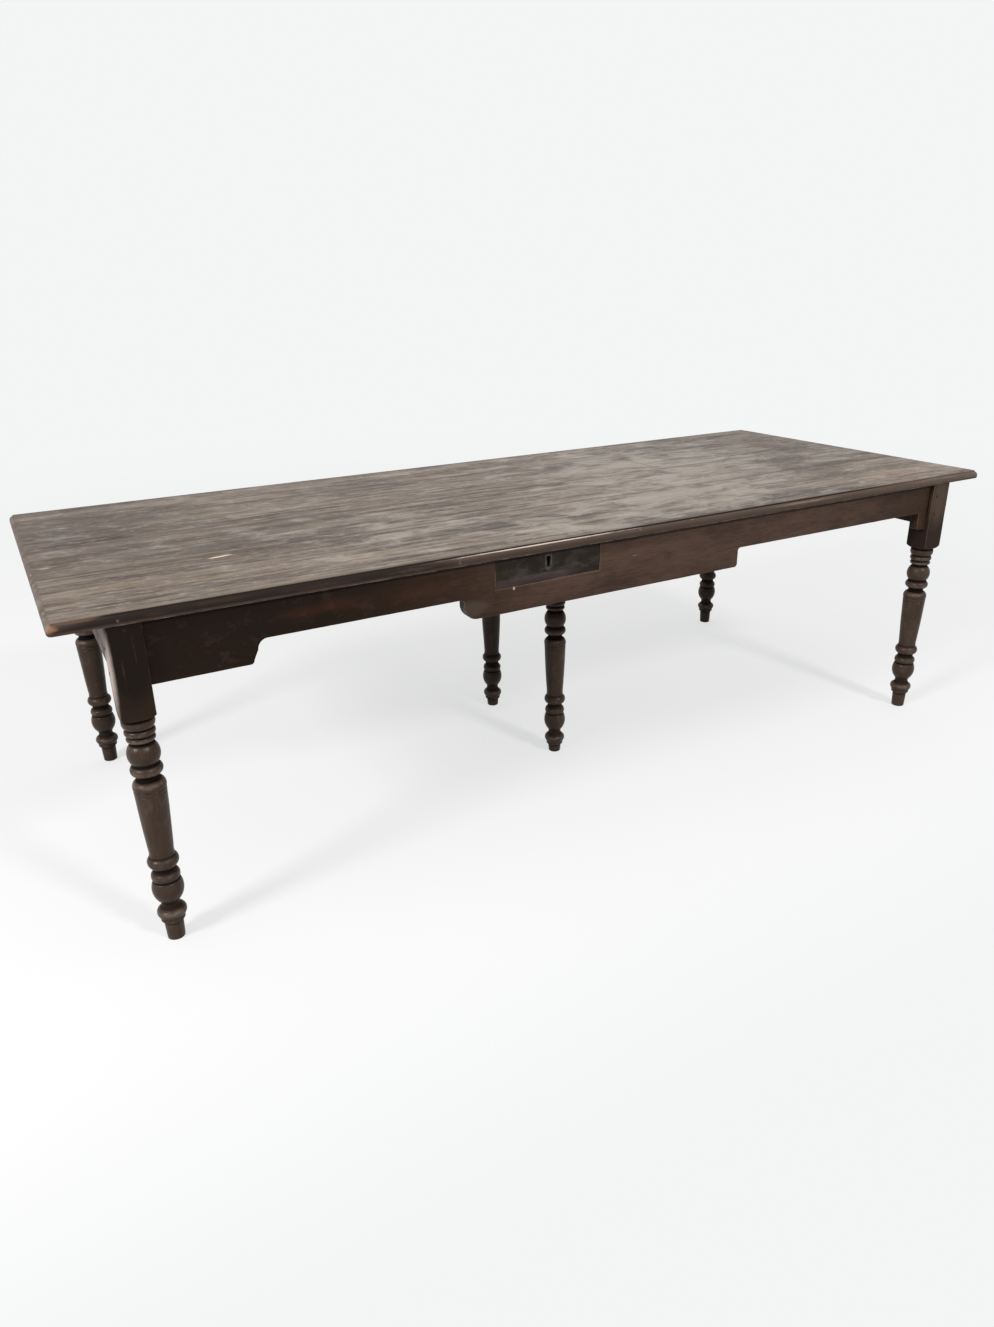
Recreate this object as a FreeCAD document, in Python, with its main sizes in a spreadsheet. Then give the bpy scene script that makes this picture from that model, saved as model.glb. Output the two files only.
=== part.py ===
"""Refectory table with a plank top, six turned legs and one lockable drawer, as a parametric document.

Lengths are millimetres. X runs along the table, Y from its drawer side to its back, Z up from the floor, and
the origin lies on the floor under the middle of the top.
"""
import FreeCAD
import Part
import Sketcher
import math
import os
from types import SimpleNamespace

SIZES = {
    # Top: boards joined by tongues, with a thumb moulding on all four edges
    "top_length": 2646,
    "top_width": 1050,
    "top_thickness": 24,
    "table_height": 770,
    "left_end_overhang": 98.5,
    "right_end_overhang": 124.5,
    "side_overhang": 6.5,
    "top_corner_radius": 9,
    "thumb_width": 9,
    "thumb_swell": 2.4,
    "lower_arris_width": 3,
    "tongue_thickness": 8,
    "tongue_length": 9,
    "tongue_end_gap": 0.5,
    # Corner legs: square blocks above a turned length and a tapered foot
    "leg_square": 68.5,
    "foot_height": 50,
    "foot_arris_width": 2,
    "block_reach": 68,
    "shoulder_rise": 17,
    "shoulder_swell": 4,
    # Middle legs: slimmer, with a shorter foot, slotted over the cross rail
    "middle_square": 64,
    "middle_foot_height": 26,
    "middle_block_drop": 32,
    "middle_leg_offset": 20,
    "rail_thickness": 30,
    "rail_depth": 110,
    # Aprons: boards tenoned into the leg blocks, front and back with a stepped lower edge
    "apron_thickness": 27,
    "apron_setback": 9,
    "apron_depth": 136,
    "apron_rise": 52,
    "left_skirt_length": 208,
    "skirt_lean": 10,
    "skirt_cove": 22,
    "skirt_toe": 9,
    "skirt_margin": 45,
    "skirt_corner": 8,
    "centre_skirt_length": 793,
    "right_skirt_length": 40,
    "tenon_thickness": 9,
    "tenon_web": 5.5,
    "tenon_top": 16,
    "tenon_bottom": 12,
    "housing_depth": 9,
    # Pegs and glue blocks
    "peg_radius": 4,
    "peg_tail": 15,
    "peg_proud": 0.6,
    "peg_clearance": 0.05,
    "top_peg_radius": 5,
    "top_peg_reach": 28,
    "glue_block_length": 84,
    "glue_block_square": 28,
    # Drawer, its opening and its runners
    "opening_width": 296,
    "opening_depth": 74,
    "opening_to_leg_gap": 90,
    "drawer_side_gap": 1.2,
    "drawer_top_gap": 1.2,
    "drawer_inset": 1,
    "run_clearance": 0.3,
    "drawer_length": 420,
    "drawer_front_thickness": 22,
    "drawer_side_thickness": 12,
    "drawer_back_thickness": 11,
    "drawer_back_inset": 14,
    "drawer_back_drop": 7,
    "drawer_bottom_thickness": 6,
    "drawer_bottom_lift": 5,
    "drawer_groove": 5,
    "dovetail_lap": 7,
    "nail_radius": 1.1,
    "nail_length": 24,
    "guide_thickness": 12,
    "guide_height": 24,
    "bearing_width": 22,
    "runner_depth": 18,
    "stop_length": 24,
    "stop_height": 16,
    # Keyhole, escutcheon and drawer lock
    "keyhole_width": 10.5,
    "keyhole_foot": 8,
    "keyhole_height": 28,
    "escutcheon_width": 20,
    "escutcheon_height": 40,
    "escutcheon_margin": 3.5,
    "escutcheon_thickness": 2,
    "escutcheon_proud": 0.6,
    "plate_margin": 9,
    "plate_lip": 6,
    "plate_thickness": 2,
    "works_width": 46,
    "works_height": 40,
    "works_depth": 9,
    "cap_thickness": 1.2,
    "bolt_side_gap": 8,
    "bolt_foot_gap": 4.5,
    "bolt_leg": 6,
    "bolt_bridge": 4.5,
    "bolt_head_width": 16,
    "bolt_throw": 7,
    "bolt_clearance": 0.2,
    "bolt_mortise_spare": 1,
    "bolt_mortise_ease": 0.8,
    "lock_pin_gap": 1.3,
    "lock_pin_radius": 1.8,
    "lock_pin_length": 13,
    "lock_screw_radius": 1.5,
    "lock_screw_length": 9,
    "lock_screw_inset": 5,
    # How far a cut runs past the wood that it enters
    "overrun": 2,
}

# Widths of the top boards from front to back, of the top's width
BOARD_WIDTH_SHARES = (0.31, 0.235, 0.25, 0.205)

# Step and drop of the thumb moulding, of the top's thickness
THUMB_STEP_SHARE = 0.1
THUMB_DROP_SHARE = 0.5

# Places of the front and back middle leg, of half the clear width between the long aprons
MIDDLE_LEG_SHARES = (-0.346, 0.466)

# Radius of the centre skirt's nose, of the wood below the corner above it
NOSE_SHARE = 0.77

# Foot radii at the floor and under the turning, and the foot of the shoulder, of half the leg's square
FOOT_LOW_SHARE = 0.555
FOOT_HIGH_SHARE = 0.613
SHOULDER_SHARE = 0.99
# Radius that clears the corners of the square, of the square
CLEAR_SHARE = 0.74

# The turning from foot to block. Each row is one member: its length of the turning length, then its radius at
# the foot end, its radius at the block end and the swell of its profile, all of half the leg's square.
ANKLE_SHARES = (
    (0.0081, 0.759, 0.759, 0),
    (0.0025, 0.730, 0.730, 0),
    (0.0081, 0.788, 0.788, 0),
    (0.0427, 0.745, 0.745, 0.181),
    (0.0443, 0.700, 0.700, -0.131),
    (0.0996, 0.700, 0.847, 0.204),
    (0.0061, 0.794, 0.794, 0),
    (0.0366, 0.806, 0.806, 0.090),
    (0.0305, 0.730, 0.730, -0.064),
    (0.0508, 0.774, 0.774, 0.196),
    (0.0183, 0.760, 0.760, 0),
)
SHAFT_SHARES = (
    (0.2988, 0.742, 0.964, 0.023),
    (0.0024, 0.934, 0.934, 0),
    (0.0163, 0.972, 0.972, 0),
    (0.0024, 0.940, 0.940, 0),
    (0.0378, 0.978, 0.818, 0.088),
)
NECK_SHARES = (
    (0.0285, 0.700, 0.700, -0.058),
    (0.0447, 0.774, 0.774, 0.199),
    (0.0102, 0.782, 0.782, 0),
    (0.0874, 0.788, 0.730, 0.222),
    (0.0142, 0.651, 0.651, 0),
    (0.0224, 0.753, 0.753, 0.105),
    (0.0041, 0.724, 0.724, 0),
    (0.0305, 0.788, 0.788, 0.123),
    (0.0061, 0.818, 0.818, 0),
    (0.0407, 0.876, 0.920, 0.076),
    (0.0061, 0.891, 0.891, 0),
)

# Heights of the two pegs of a joint, of the tenon's height, and of the cross rail's depth
LONG_PEG_SHARES = (0.3, 0.8)
END_PEG_SHARES = (0.12, 0.6)
RAIL_PEG_SHARES = (0.26, 0.74)
# Places of the glue blocks, of the clear apron left of the drawer opening and right of the cross rail
LEFT_BLOCK_SHARES = (0.27, 0.72)
RIGHT_BLOCK_SHARES = (0.25, 0.53, 0.81)
# Heights of the dovetails, and half their widths at root and tip, of the drawer's height
DOVETAIL_SHARES = (0.31, 0.72)
DOVETAIL_ROOT_SHARE = 0.085
DOVETAIL_TIP_SHARE = 0.125
# Places of the nails of the drawer bottom, of half the clear width between the drawer sides
NAIL_SHARES = (-0.8, 0, 0.8)
# Height of a swell that makes a quarter circle, of its radius
QUARTER_SHARE = 1 - math.sqrt(0.5)

FULL_TURN = 360
ALONG = FreeCAD.Vector(1, 0, 0)
BACKWARD = FreeCAD.Vector(0, 1, 0)
UP = FreeCAD.Vector(0, 0, 1)
LEFT, RIGHT = -1, 1
FRONT, BACK = -1, 1
# Which way a sketch on each plane faces along the axis that it looks down
PLANE_FACING = {"XY_Plane": 1, "YZ_Plane": 1, "XZ_Plane": -1}


class Span:
    """A length that knows its number and the expression that ties it to the sheet."""

    def __init__(self, value, text):
        self.value = float(value)
        self.text = text

    @staticmethod
    def of(other):
        return other if isinstance(other, Span) else Span(other, f"({other!r})")

    def __add__(self, other):
        other = Span.of(other)
        return Span(self.value + other.value, f"({self.text} + {other.text})")

    def __sub__(self, other):
        other = Span.of(other)
        return Span(self.value - other.value, f"({self.text} - {other.text})")

    def __mul__(self, other):
        other = Span.of(other)
        return Span(self.value * other.value, f"({self.text} * {other.text})")

    def __truediv__(self, other):
        other = Span.of(other)
        return Span(self.value / other.value, f"({self.text} / {other.text})")

    def __neg__(self):
        return Span(-self.value, f"(0 - {self.text})")

    __rmul__ = __mul__


NONE = Span(0, "0")


def make_sheet(doc):
    """Write the driving dimensions to the sheet and give them back as spans."""
    sheet = doc.addObject("Spreadsheet::Sheet", "Sizes")
    for row, (alias, number) in enumerate(SIZES.items(), 1):
        sheet.set(f"A{row}", alias)
        sheet.set(f"B{row}", str(number))
        sheet.setAlias(f"B{row}", alias)
    doc.recompute()
    spans = {alias: Span(getattr(sheet, alias), f"Sizes.{alias}") for alias in SIZES}
    return SimpleNamespace(**spans)


doc = FreeCAD.newDocument("refectory_table")
size = make_sheet(doc)
nodes = []


def bind(item, path, span):
    item.setExpression(path, Span.of(span).text)


def place(item, x=NONE, y=NONE, z=NONE):
    for axis, span in (("x", x), ("y", y), ("z", z)):
        if span is not NONE:
            bind(item, f".Placement.Base.{axis}", span)


def node(kind, name):
    """Start a sub-part whose label names its file."""
    item = doc.addObject(kind, name)
    item.Label = name
    nodes.append(item)
    return item


def sketch_on(body, name, plane, start):
    """Open a sketch on one of the body's origin planes, moved to start along the axis that it looks down."""
    sketch = body.newObject("Sketcher::SketchObject", name)
    support = next(item for item in body.Origin.OriginFeatures if item.Role == plane)
    sketch.AttachmentSupport = [(support, "")]
    sketch.MapMode = "FlatFace"
    bind(sketch, ".AttachmentOffset.Base.z", PLANE_FACING[plane] * start)
    return sketch


def edge_between(start, end, swell):
    """A straight edge, or an arc that swells to the right of the way from start to end."""
    first = FreeCAD.Vector(start[0].value, start[1].value, 0)
    last = FreeCAD.Vector(end[0].value, end[1].value, 0)
    if swell is NONE:
        return Part.LineSegment(first, last)
    chord = last - first
    aside = FreeCAD.Vector(chord.y, -chord.x, 0).normalize() * swell.value
    return Part.Arc(first, (first + last) / 2 + aside, last)


def arc_radius(start, end, swell):
    across = end[0] - start[0]
    along = end[1] - start[1]
    height = swell if swell.value > 0 else -swell
    return ((across * across + along * along) / 4 + height * height) / (2 * height)


def pin_point(edge, point, corner):
    """Rules that hold a point of a sketch at a corner, each with the span that its value follows."""
    rules = []
    for kind, axis, span in (("DistanceX", -2, corner[0]), ("DistanceY", -1, corner[1])):
        if span is NONE:
            rules.append((Sketcher.Constraint("PointOnObject", edge, point, axis), NONE))
        else:
            rules.append((Sketcher.Constraint(kind, -1, 1, edge, point, span.value), span))
    return rules


def constrain(sketch, rules):
    """Add all the rules of an outline at once, and bind their values to the sheet."""
    indices = sketch.addConstraint([rule for rule, _ in rules])
    for index, (_, span) in zip(indices, rules):
        if span is not NONE:
            bind(sketch, f"Constraints[{index}]", span)


def draw(sketch, corners):
    """Close an outline through corners: (u, v), or (u, v, swell of the edge that arrives there)."""
    corners = [corner if len(corner) > 2 else (*corner, NONE) for corner in corners]
    edges = [edge_between(corners[i - 1], corner, corner[2]) for i, corner in enumerate(corners)]
    first = sketch.GeometryCount
    sketch.addGeometry(edges, False)
    ends = []
    for i, corner in enumerate(corners):
        target = FreeCAD.Vector(corner[0].value, corner[1].value, 0)
        gaps = [sketch.getPoint(first + i, point).distanceToPoint(target) for point in (1, 2)]
        ends.append(2 if gaps[1] < gaps[0] else 1)
    rules = []
    for i, corner in enumerate(corners):
        following = (i + 1) % len(corners)
        arrival = (first + i, ends[i])
        departure = (first + following, 3 - ends[following])
        rules.append((Sketcher.Constraint("Coincident", *arrival, *departure), NONE))
        rules += pin_point(*arrival, corner)
        if corner[2] is not NONE:
            radius = arc_radius(corners[i - 1], corner, corner[2])
            rules.append((Sketcher.Constraint("Radius", first + i, radius.value), radius))
    constrain(sketch, rules)


def draw_circles(sketch, centres, radius):
    rules = []
    for centre in centres:
        middle = FreeCAD.Vector(centre[0].value, centre[1].value, 0)
        circle = sketch.addGeometry(Part.Circle(middle, UP, radius.value), False)
        rules += pin_point(circle, 3, centre)
        rules.append((Sketcher.Constraint("Radius", circle, radius.value), radius))
    constrain(sketch, rules)


def box_corners(low, high):
    return [(low[0], low[1]), (high[0], low[1]), (high[0], high[1]), (low[0], high[1])]


def extrude(body, name, kind, plane, start, depth):
    """Open a Pad or Pocket that runs from start up its axis; draw on the sketch that comes back."""
    sketch = sketch_on(body, f"{name}_sketch", plane, start)
    feature = body.newObject(f"PartDesign::{kind}", name)
    feature.Profile = sketch
    bind(feature, "Length", depth)
    faces_up = PLANE_FACING[plane] > 0
    feature.Reversed = faces_up if kind == "Pocket" else not faces_up
    return sketch


def pad(body, name, plane, start, depth, *outlines):
    sketch = extrude(body, name, "Pad", plane, start, depth)
    for corners in outlines:
        draw(sketch, corners)


def cut(body, name, plane, start, depth, *outlines):
    sketch = extrude(body, name, "Pocket", plane, start, depth)
    for corners in outlines:
        draw(sketch, corners)


def drill(body, name, plane, start, depth, centres, radius):
    draw_circles(extrude(body, name, "Pocket", plane, start, depth), centres, radius)


def group(name, solids):
    """Separate solids of one kind that share a node."""
    compound = node("Part::Compound", name)
    compound.Links = solids


def rod(name, radius, length, start, axis):
    """A round rod that runs from start along an axis, X, Y or Z, or back along it."""
    item = doc.addObject("Part::Cylinder", name)
    bind(item, "Radius", radius)
    bind(item, "Height", length)
    item.Placement = FreeCAD.Placement(FreeCAD.Vector(), FreeCAD.Rotation(UP, axis))
    place(item, *start)
    return item


def block(item, low, spans):
    """Bind a box's corner and its three sides."""
    for side, span in zip(("Length", "Width", "Height"), spans):
        bind(item, side, span)
    place(item, *low)


# Places that several pieces share
underside = size.table_height - size.top_thickness
half_square = size.leg_square / 2
frame_middle = (size.left_end_overhang - size.right_end_overhang) / 2
leg_x = (size.top_length - size.left_end_overhang - size.right_end_overhang) / 2 - half_square
leg_y = size.top_width / 2 - size.side_overhang - half_square
clear_half = leg_x - half_square
clear_left = frame_middle - clear_half
clear_right = frame_middle + clear_half
middle_leg_x = frame_middle + size.middle_leg_offset
clear_half_end = leg_y - half_square
apron_face = leg_y + half_square - size.apron_setback
apron_back = apron_face - size.apron_thickness
end_apron_face = leg_x + half_square - size.apron_setback
end_apron_middle = end_apron_face - size.apron_thickness / 2
tenon_inset = (size.apron_thickness - size.tenon_thickness) / 2
tenon_far = size.apron_setback + tenon_inset + size.tenon_thickness
tenon_length = size.leg_square - tenon_far - size.tenon_web
peg_length = tenon_far + size.peg_tail
peg_hole = size.peg_radius + size.peg_clearance
opening_right = middle_leg_x - size.opening_to_leg_gap
opening_left = opening_right - size.opening_width
drawer_x = opening_right - size.opening_width / 2
drawer_y = -apron_face + size.drawer_inset
drawer_z = underside - size.opening_depth + size.run_clearance
drawer_half = size.opening_width / 2 - size.drawer_side_gap
drawer_height = size.opening_depth - size.run_clearance - size.drawer_top_gap
through_apron = size.apron_thickness + 2 * size.overrun
tenon_height = size.apron_depth - size.tenon_top - size.tenon_bottom
long_peg_heights = [share * tenon_height + size.tenon_bottom - size.apron_depth for share in LONG_PEG_SHARES]
end_peg_heights = [share * tenon_height + size.tenon_bottom - size.apron_depth for share in END_PEG_SHARES]
block_bottom = underside - size.apron_depth - size.block_reach


def thumb_moulding(edge, outward):
    """Section of the top's edge, from its lower arris up to the flat of the top."""
    low = edge - outward * size.lower_arris_width
    flat = edge - outward * size.thumb_width
    thumb_top = size.table_height - THUMB_STEP_SHARE * size.top_thickness
    arris_swell = outward * QUARTER_SHARE * size.lower_arris_width
    return [
        (low, underside),
        (edge, underside + size.lower_arris_width, arris_swell),
        (edge, thumb_top - THUMB_DROP_SHARE * size.top_thickness),
        (flat, thumb_top, outward * size.thumb_swell),
        (flat, size.table_height),
    ]


def tongue(edge, reach):
    """Corners of a tongue or groove on a board's joint, from its lower side up."""
    middle = underside + size.top_thickness / 2
    low = middle - size.tongue_thickness / 2
    high = middle + size.tongue_thickness / 2
    return [(edge, low), (edge + reach, low), (edge + reach, high), (edge, high)]


def end_waste(side):
    """What the moulding plane takes off one end of a board."""
    edge = side * size.top_length / 2
    profile = thumb_moulding(edge, side)
    beyond = edge + side * size.overrun
    above = size.table_height + size.overrun
    below = underside - size.overrun
    return [(profile[0][0], below), *profile, (profile[-1][0], above), (beyond, above), (beyond, below)]


def corner_waste(side, depth_side):
    """What rounding one corner of the top takes off, in plan."""
    edge_x = side * size.top_length / 2
    edge_y = depth_side * size.top_width / 2
    inner_x = edge_x - side * size.top_corner_radius
    inner_y = edge_y - depth_side * size.top_corner_radius
    beyond_x = edge_x + side * size.overrun
    beyond_y = edge_y + depth_side * size.overrun
    swell = side * depth_side * QUARTER_SHARE * size.top_corner_radius
    return [
        (beyond_x, beyond_y),
        (beyond_x, inner_y),
        (edge_x, inner_y),
        (inner_x, edge_y, swell),
        (inner_x, beyond_y),
    ]


def board_edges():
    """Front and back edge of each top board."""
    edges = []
    low = -(size.top_width / 2)
    for share in BOARD_WIDTH_SHARES:
        high = low + share * size.top_width
        edges.append((low, high))
        low = high
    return edges


def make_top():
    count = len(BOARD_WIDTH_SHARES)
    groove_reach = size.tongue_length + size.tongue_end_gap
    peg_hole_radius = size.top_peg_radius + size.peg_clearance
    peg_places = []
    for i, (low, high) in enumerate(board_edges()):
        name = f"top_board_{i + 1}"
        body = node("PartDesign::Body", name)
        if i == 0:
            near = reversed_outline(thumb_moulding(low, FRONT))
        else:
            groove = reversed_outline(tongue(low, groove_reach))
            near = [(low, size.table_height), *groove, (low, underside)]
        if i == count - 1:
            far = thumb_moulding(size.top_width / 2, BACK)
        else:
            far = [(high, underside), *tongue(high, size.tongue_length), (high, size.table_height)]
        half = size.top_length / 2
        pad(body, f"{name}_plank", "YZ_Plane", -half, size.top_length, near + far)
        width = high - low + 4 * size.tongue_length
        start = low - 2 * size.tongue_length
        cut(body, f"{name}_ends", "XZ_Plane", start, width, end_waste(LEFT), end_waste(RIGHT))
        below = underside - size.overrun
        through = size.top_thickness + 2 * size.overrun
        for outer, at in ((FRONT, 0), (BACK, count - 1)):
            if i == at:
                corners = [corner_waste(side, outer) for side in (LEFT, RIGHT)]
                cut(body, f"{name}_corners", "XY_Plane", below, through, *corners)
        middle = (low + high) / 2
        holes = [(frame_middle + side * end_apron_middle, middle) for side in (LEFT, RIGHT)]
        drill(body, f"{name}_peg_holes", "XY_Plane", below, through, holes, peg_hole_radius)
        if i == 0:
            cut_bolt_mortise(body, name)
        peg_places += holes
    pegs = []
    length = size.top_thickness + size.top_peg_reach
    for i, (x, y) in enumerate(peg_places):
        start = (x, y, size.table_height - length)
        pegs.append(rod(f"top_peg_{i + 1}", size.top_peg_radius, length, start, UP))
    group("top_pegs", pegs)


def reversed_outline(corners):
    """The same outline walked the other way, with each swell moved to the corner where its edge now ends."""
    swells = [corner[2] if len(corner) > 2 else NONE for corner in corners]
    backwards = []
    for i in range(len(corners) - 1, -1, -1):
        arriving = swells[i + 1] if i + 1 < len(corners) else NONE
        turned = arriving if arriving is NONE else -arriving
        backwards.append((corners[i][0], corners[i][1], turned))
    return backwards


def cut_bolt_mortise(body, name):
    """Mortise in the top's underside that the lock bolt rises into."""
    middle_y = drawer_y + bolt_low_y + bolt_thickness / 2
    half_x = size.bolt_head_width / 2 + size.bolt_mortise_ease
    half_y = bolt_thickness / 2 + size.bolt_mortise_ease
    corners = box_corners((drawer_x - half_x, middle_y - half_y), (drawer_x + half_x, middle_y + half_y))
    depth = size.bolt_throw + size.bolt_mortise_spare + size.overrun
    cut(body, f"{name}_bolt_mortise", "XY_Plane", underside - size.overrun, depth, corners)


def turned_wastes(square, foot, turning):
    """What the lathe takes off a square blank, out to a radius clear of its corners, in three stretches."""
    half = square / 2
    clear = CLEAR_SHARE * square
    base = FOOT_LOW_SHARE * half
    below = -size.overrun
    corners = [
        (clear, below),
        (base - size.foot_arris_width, below),
        (base - size.foot_arris_width, NONE),
        (base, size.foot_arris_width, QUARTER_SHARE * size.foot_arris_width),
        (FOOT_HIGH_SHARE * half, foot),
    ]
    stretches = (ANKLE_SHARES, SHAFT_SHARES, NECK_SHARES)
    total = sum(member[0] for stretch in stretches for member in stretch)
    reached = 0
    last_share = FOOT_HIGH_SHARE
    wastes = []
    for stretch in stretches:
        for length_share, low_share, high_share, swell_share in stretch:
            low = foot + (reached / total) * turning
            reached += length_share
            high = foot + (reached / total) * turning
            if low_share != last_share:
                corners.append((low_share * half, low))
            swell = swell_share * half if swell_share else NONE
            corners.append((high_share * half, high, swell))
            last_share = high_share
        wastes.append([*corners, (clear, high)])
        corners = [(clear, high)]
        last_share = None
    shoulder = (clear, high + size.shoulder_rise, size.shoulder_swell)
    wastes[-1][-1:] = [(SHOULDER_SHARE * half, high), shoulder]
    return wastes


def make_leg(name, square, foot, bottom, x, y):
    """Turn a leg from a square blank with its axis at x, y, and leave it square from bottom up."""
    body = node("PartDesign::Body", name)
    half = square / 2
    pad(body, f"{name}_blank", "XY_Plane", NONE, underside, box_corners((-half, -half), (half, half)))
    for word, waste in zip(("ankle", "shaft", "neck"), turned_wastes(square, foot, bottom - foot)):
        sketch = sketch_on(body, f"{name}_{word}_profile", "XZ_Plane", NONE)
        draw(sketch, waste)
        groove = body.newObject("PartDesign::Groove", f"{name}_{word}")
        groove.Profile = sketch
        groove.ReferenceAxis = (sketch, ["V_Axis"])
        groove.Angle = FULL_TURN
    place(body, x, y)
    return body


def make_corner_legs():
    """Corner legs with a mortise and two peg holes for each apron, and the pegs that hold the tenons."""
    tenon_low = underside - size.apron_depth + size.tenon_bottom
    tenon_high = underside - size.tenon_top
    middle = half_square - size.apron_setback - size.apron_thickness / 2
    half_tenon = size.tenon_thickness / 2
    mortise_depth = tenon_length + size.overrun
    peg_depth = peg_length + size.overrun
    peg_seat = half_square - tenon_length / 2
    pegs = []
    for side_word, side in (("left", LEFT), ("right", RIGHT)):
        for depth_word, depth_side in (("front", FRONT), ("back", BACK)):
            name = f"leg_{depth_word}_{side_word}"
            x, y = frame_middle + side * leg_x, depth_side * leg_y
            body = make_leg(name, size.leg_square, size.foot_height, block_bottom, x, y)
            for axis, plane, own, other, peg_heights in (
                ("long", "YZ_Plane", side, depth_side, long_peg_heights),
                ("end", "XZ_Plane", depth_side, side, end_peg_heights),
            ):
                start = -half_square - size.overrun if own > 0 else half_square - tenon_length
                low = other * middle - half_tenon
                high = other * middle + half_tenon
                corners = box_corners((low, tenon_low), (high, tenon_high))
                cut(body, f"{name}_{axis}_mortise", plane, start, mortise_depth, corners)
                cross = "XZ_Plane" if axis == "long" else "YZ_Plane"
                hole_start = half_square - peg_length if other > 0 else -half_square - size.overrun
                across = -own * peg_seat
                holes = [(across, underside + height) for height in peg_heights]
                drill(body, f"{name}_{axis}_peg_holes", cross, hole_start, peg_depth, holes, peg_hole)
                length = peg_length + size.peg_proud
                for i, height in enumerate(peg_heights):
                    reach = half_square - peg_length if other > 0 else -half_square - size.peg_proud
                    if axis == "long":
                        start_at, way = (x + across, y + reach, underside + height), BACKWARD
                    else:
                        start_at, way = (x + reach, y + across, underside + height), ALONG
                    pegs.append(rod(f"{name}_{axis}_peg_{i + 1}", size.peg_radius, length, start_at, way))
    group("joint_pegs", pegs)


def make_middle_legs():
    """Middle legs slotted over the cross rail, the rail itself and the pegs through both."""
    rail_low = underside - size.rail_depth
    half = size.middle_square / 2
    half_rail = size.rail_thickness / 2
    through = size.middle_square + 2 * size.overrun
    heights = [share * size.rail_depth for share in RAIL_PEG_SHARES]
    places = [(word, share * apron_back) for word, share in zip(("front", "back"), MIDDLE_LEG_SHARES)]
    bottom = block_bottom - size.middle_block_drop
    pegs = []
    for word, y in places:
        name = f"leg_middle_{word}"
        foot = size.middle_foot_height
        body = make_leg(name, size.middle_square, foot, bottom, middle_leg_x, y)
        slot = box_corners((-half_rail, rail_low), (half_rail, underside + size.overrun))
        cut(body, f"{name}_slot", "XZ_Plane", -half - size.overrun, through, slot)
        holes = [(NONE, rail_low + height) for height in heights]
        drill(body, f"{name}_peg_holes", "YZ_Plane", -half - size.overrun, through, holes, peg_hole)
        for i, height in enumerate(heights):
            start = (middle_leg_x - half - size.peg_proud, y, rail_low + height)
            length = size.middle_square + 2 * size.peg_proud
            pegs.append(rod(f"{name}_peg_{i + 1}", size.peg_radius, length, start, ALONG))
    rail = node("PartDesign::Body", "cross_rail")
    half_length = apron_back + size.housing_depth
    board = box_corners((-half_length, -size.rail_depth), (half_length, NONE))
    pad(rail, "cross_rail_board", "YZ_Plane", -half_rail, size.rail_thickness, board)
    holes = [(y, height - size.rail_depth) for _, y in places for height in heights]
    rail_through = size.rail_thickness + 2 * size.overrun
    drill(rail, "cross_rail_peg_holes", "YZ_Plane", -half_rail - size.overrun, rail_through, holes, peg_hole)
    place(rail, x=middle_leg_x, z=underside)
    group("cross_rail_pegs", pegs)


def stepped_outline(with_opening):
    """Front view of a long apron, from the underside of the top down to its stepped lower edge."""
    deep = -size.apron_depth
    shallow = deep + size.apron_rise
    toe_swell = QUARTER_SHARE * size.skirt_toe
    corner_swell = -QUARTER_SHARE * size.skirt_corner
    nose = NOSE_SHARE * (size.apron_rise - size.skirt_corner)
    heel = clear_left + size.left_skirt_length
    side = opening_left - size.skirt_margin - nose
    far = side + nose + size.centre_skirt_length
    stub = clear_right - size.right_skirt_length
    corners = [
        (clear_left, NONE),
        (clear_left, deep),
        (heel - size.skirt_toe, deep),
        (heel, deep + size.skirt_toe, toe_swell),
        (heel + size.skirt_lean, shallow - size.skirt_cove),
        (heel + size.skirt_lean + size.skirt_cove, shallow, -QUARTER_SHARE * size.skirt_cove),
        (side - size.skirt_corner, shallow),
        (side, shallow - size.skirt_corner, corner_swell),
        (side, deep + nose),
        (side + nose, deep, QUARTER_SHARE * nose),
        (far - size.skirt_toe, deep),
        (far, deep + size.skirt_toe, toe_swell),
        (far, shallow - size.skirt_corner),
        (far + size.skirt_corner, shallow, corner_swell),
        (stub - size.skirt_corner, shallow),
        (stub, shallow - size.skirt_corner, corner_swell),
        (stub, deep + size.skirt_toe),
        (stub + size.skirt_toe, deep, toe_swell),
        (clear_right, deep),
        (clear_right, NONE),
    ]
    if with_opening:
        sill = -size.opening_depth
        corners += [(opening_right, NONE), (opening_right, sill), (opening_left, sill), (opening_left, NONE)]
    return corners


def runner_section(side):
    """Section of a drawer runner, measured from the opening's side and the underside of the top."""
    sill = -size.opening_depth
    low = sill - size.runner_depth
    outer = side * size.guide_thickness
    inner = -side * size.bearing_width
    return [
        (outer, low),
        (inner, low),
        (inner, sill),
        (NONE, sill),
        (NONE, sill + size.guide_height),
        (outer, sill + size.guide_height),
    ]


def add_tenons(body, name, plane, middle, half, peg_heights):
    """Tenons on both ends of an apron, in the middle of its thickness."""
    low = size.tenon_bottom - size.apron_depth
    outlines = []
    for side in (LEFT, RIGHT):
        near, far = middle + side * half, middle + side * (half + tenon_length)
        outlines.append(box_corners((near, low), (far, -size.tenon_top)))
    pad(body, f"{name}_tenons", plane, tenon_inset, size.tenon_thickness, *outlines)
    centres = []
    for side in (LEFT, RIGHT):
        centres += [(middle + side * (half + tenon_length / 2), height) for height in peg_heights]
    drill(body, f"{name}_peg_holes", plane, -size.overrun, through_apron, centres, peg_hole)


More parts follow.
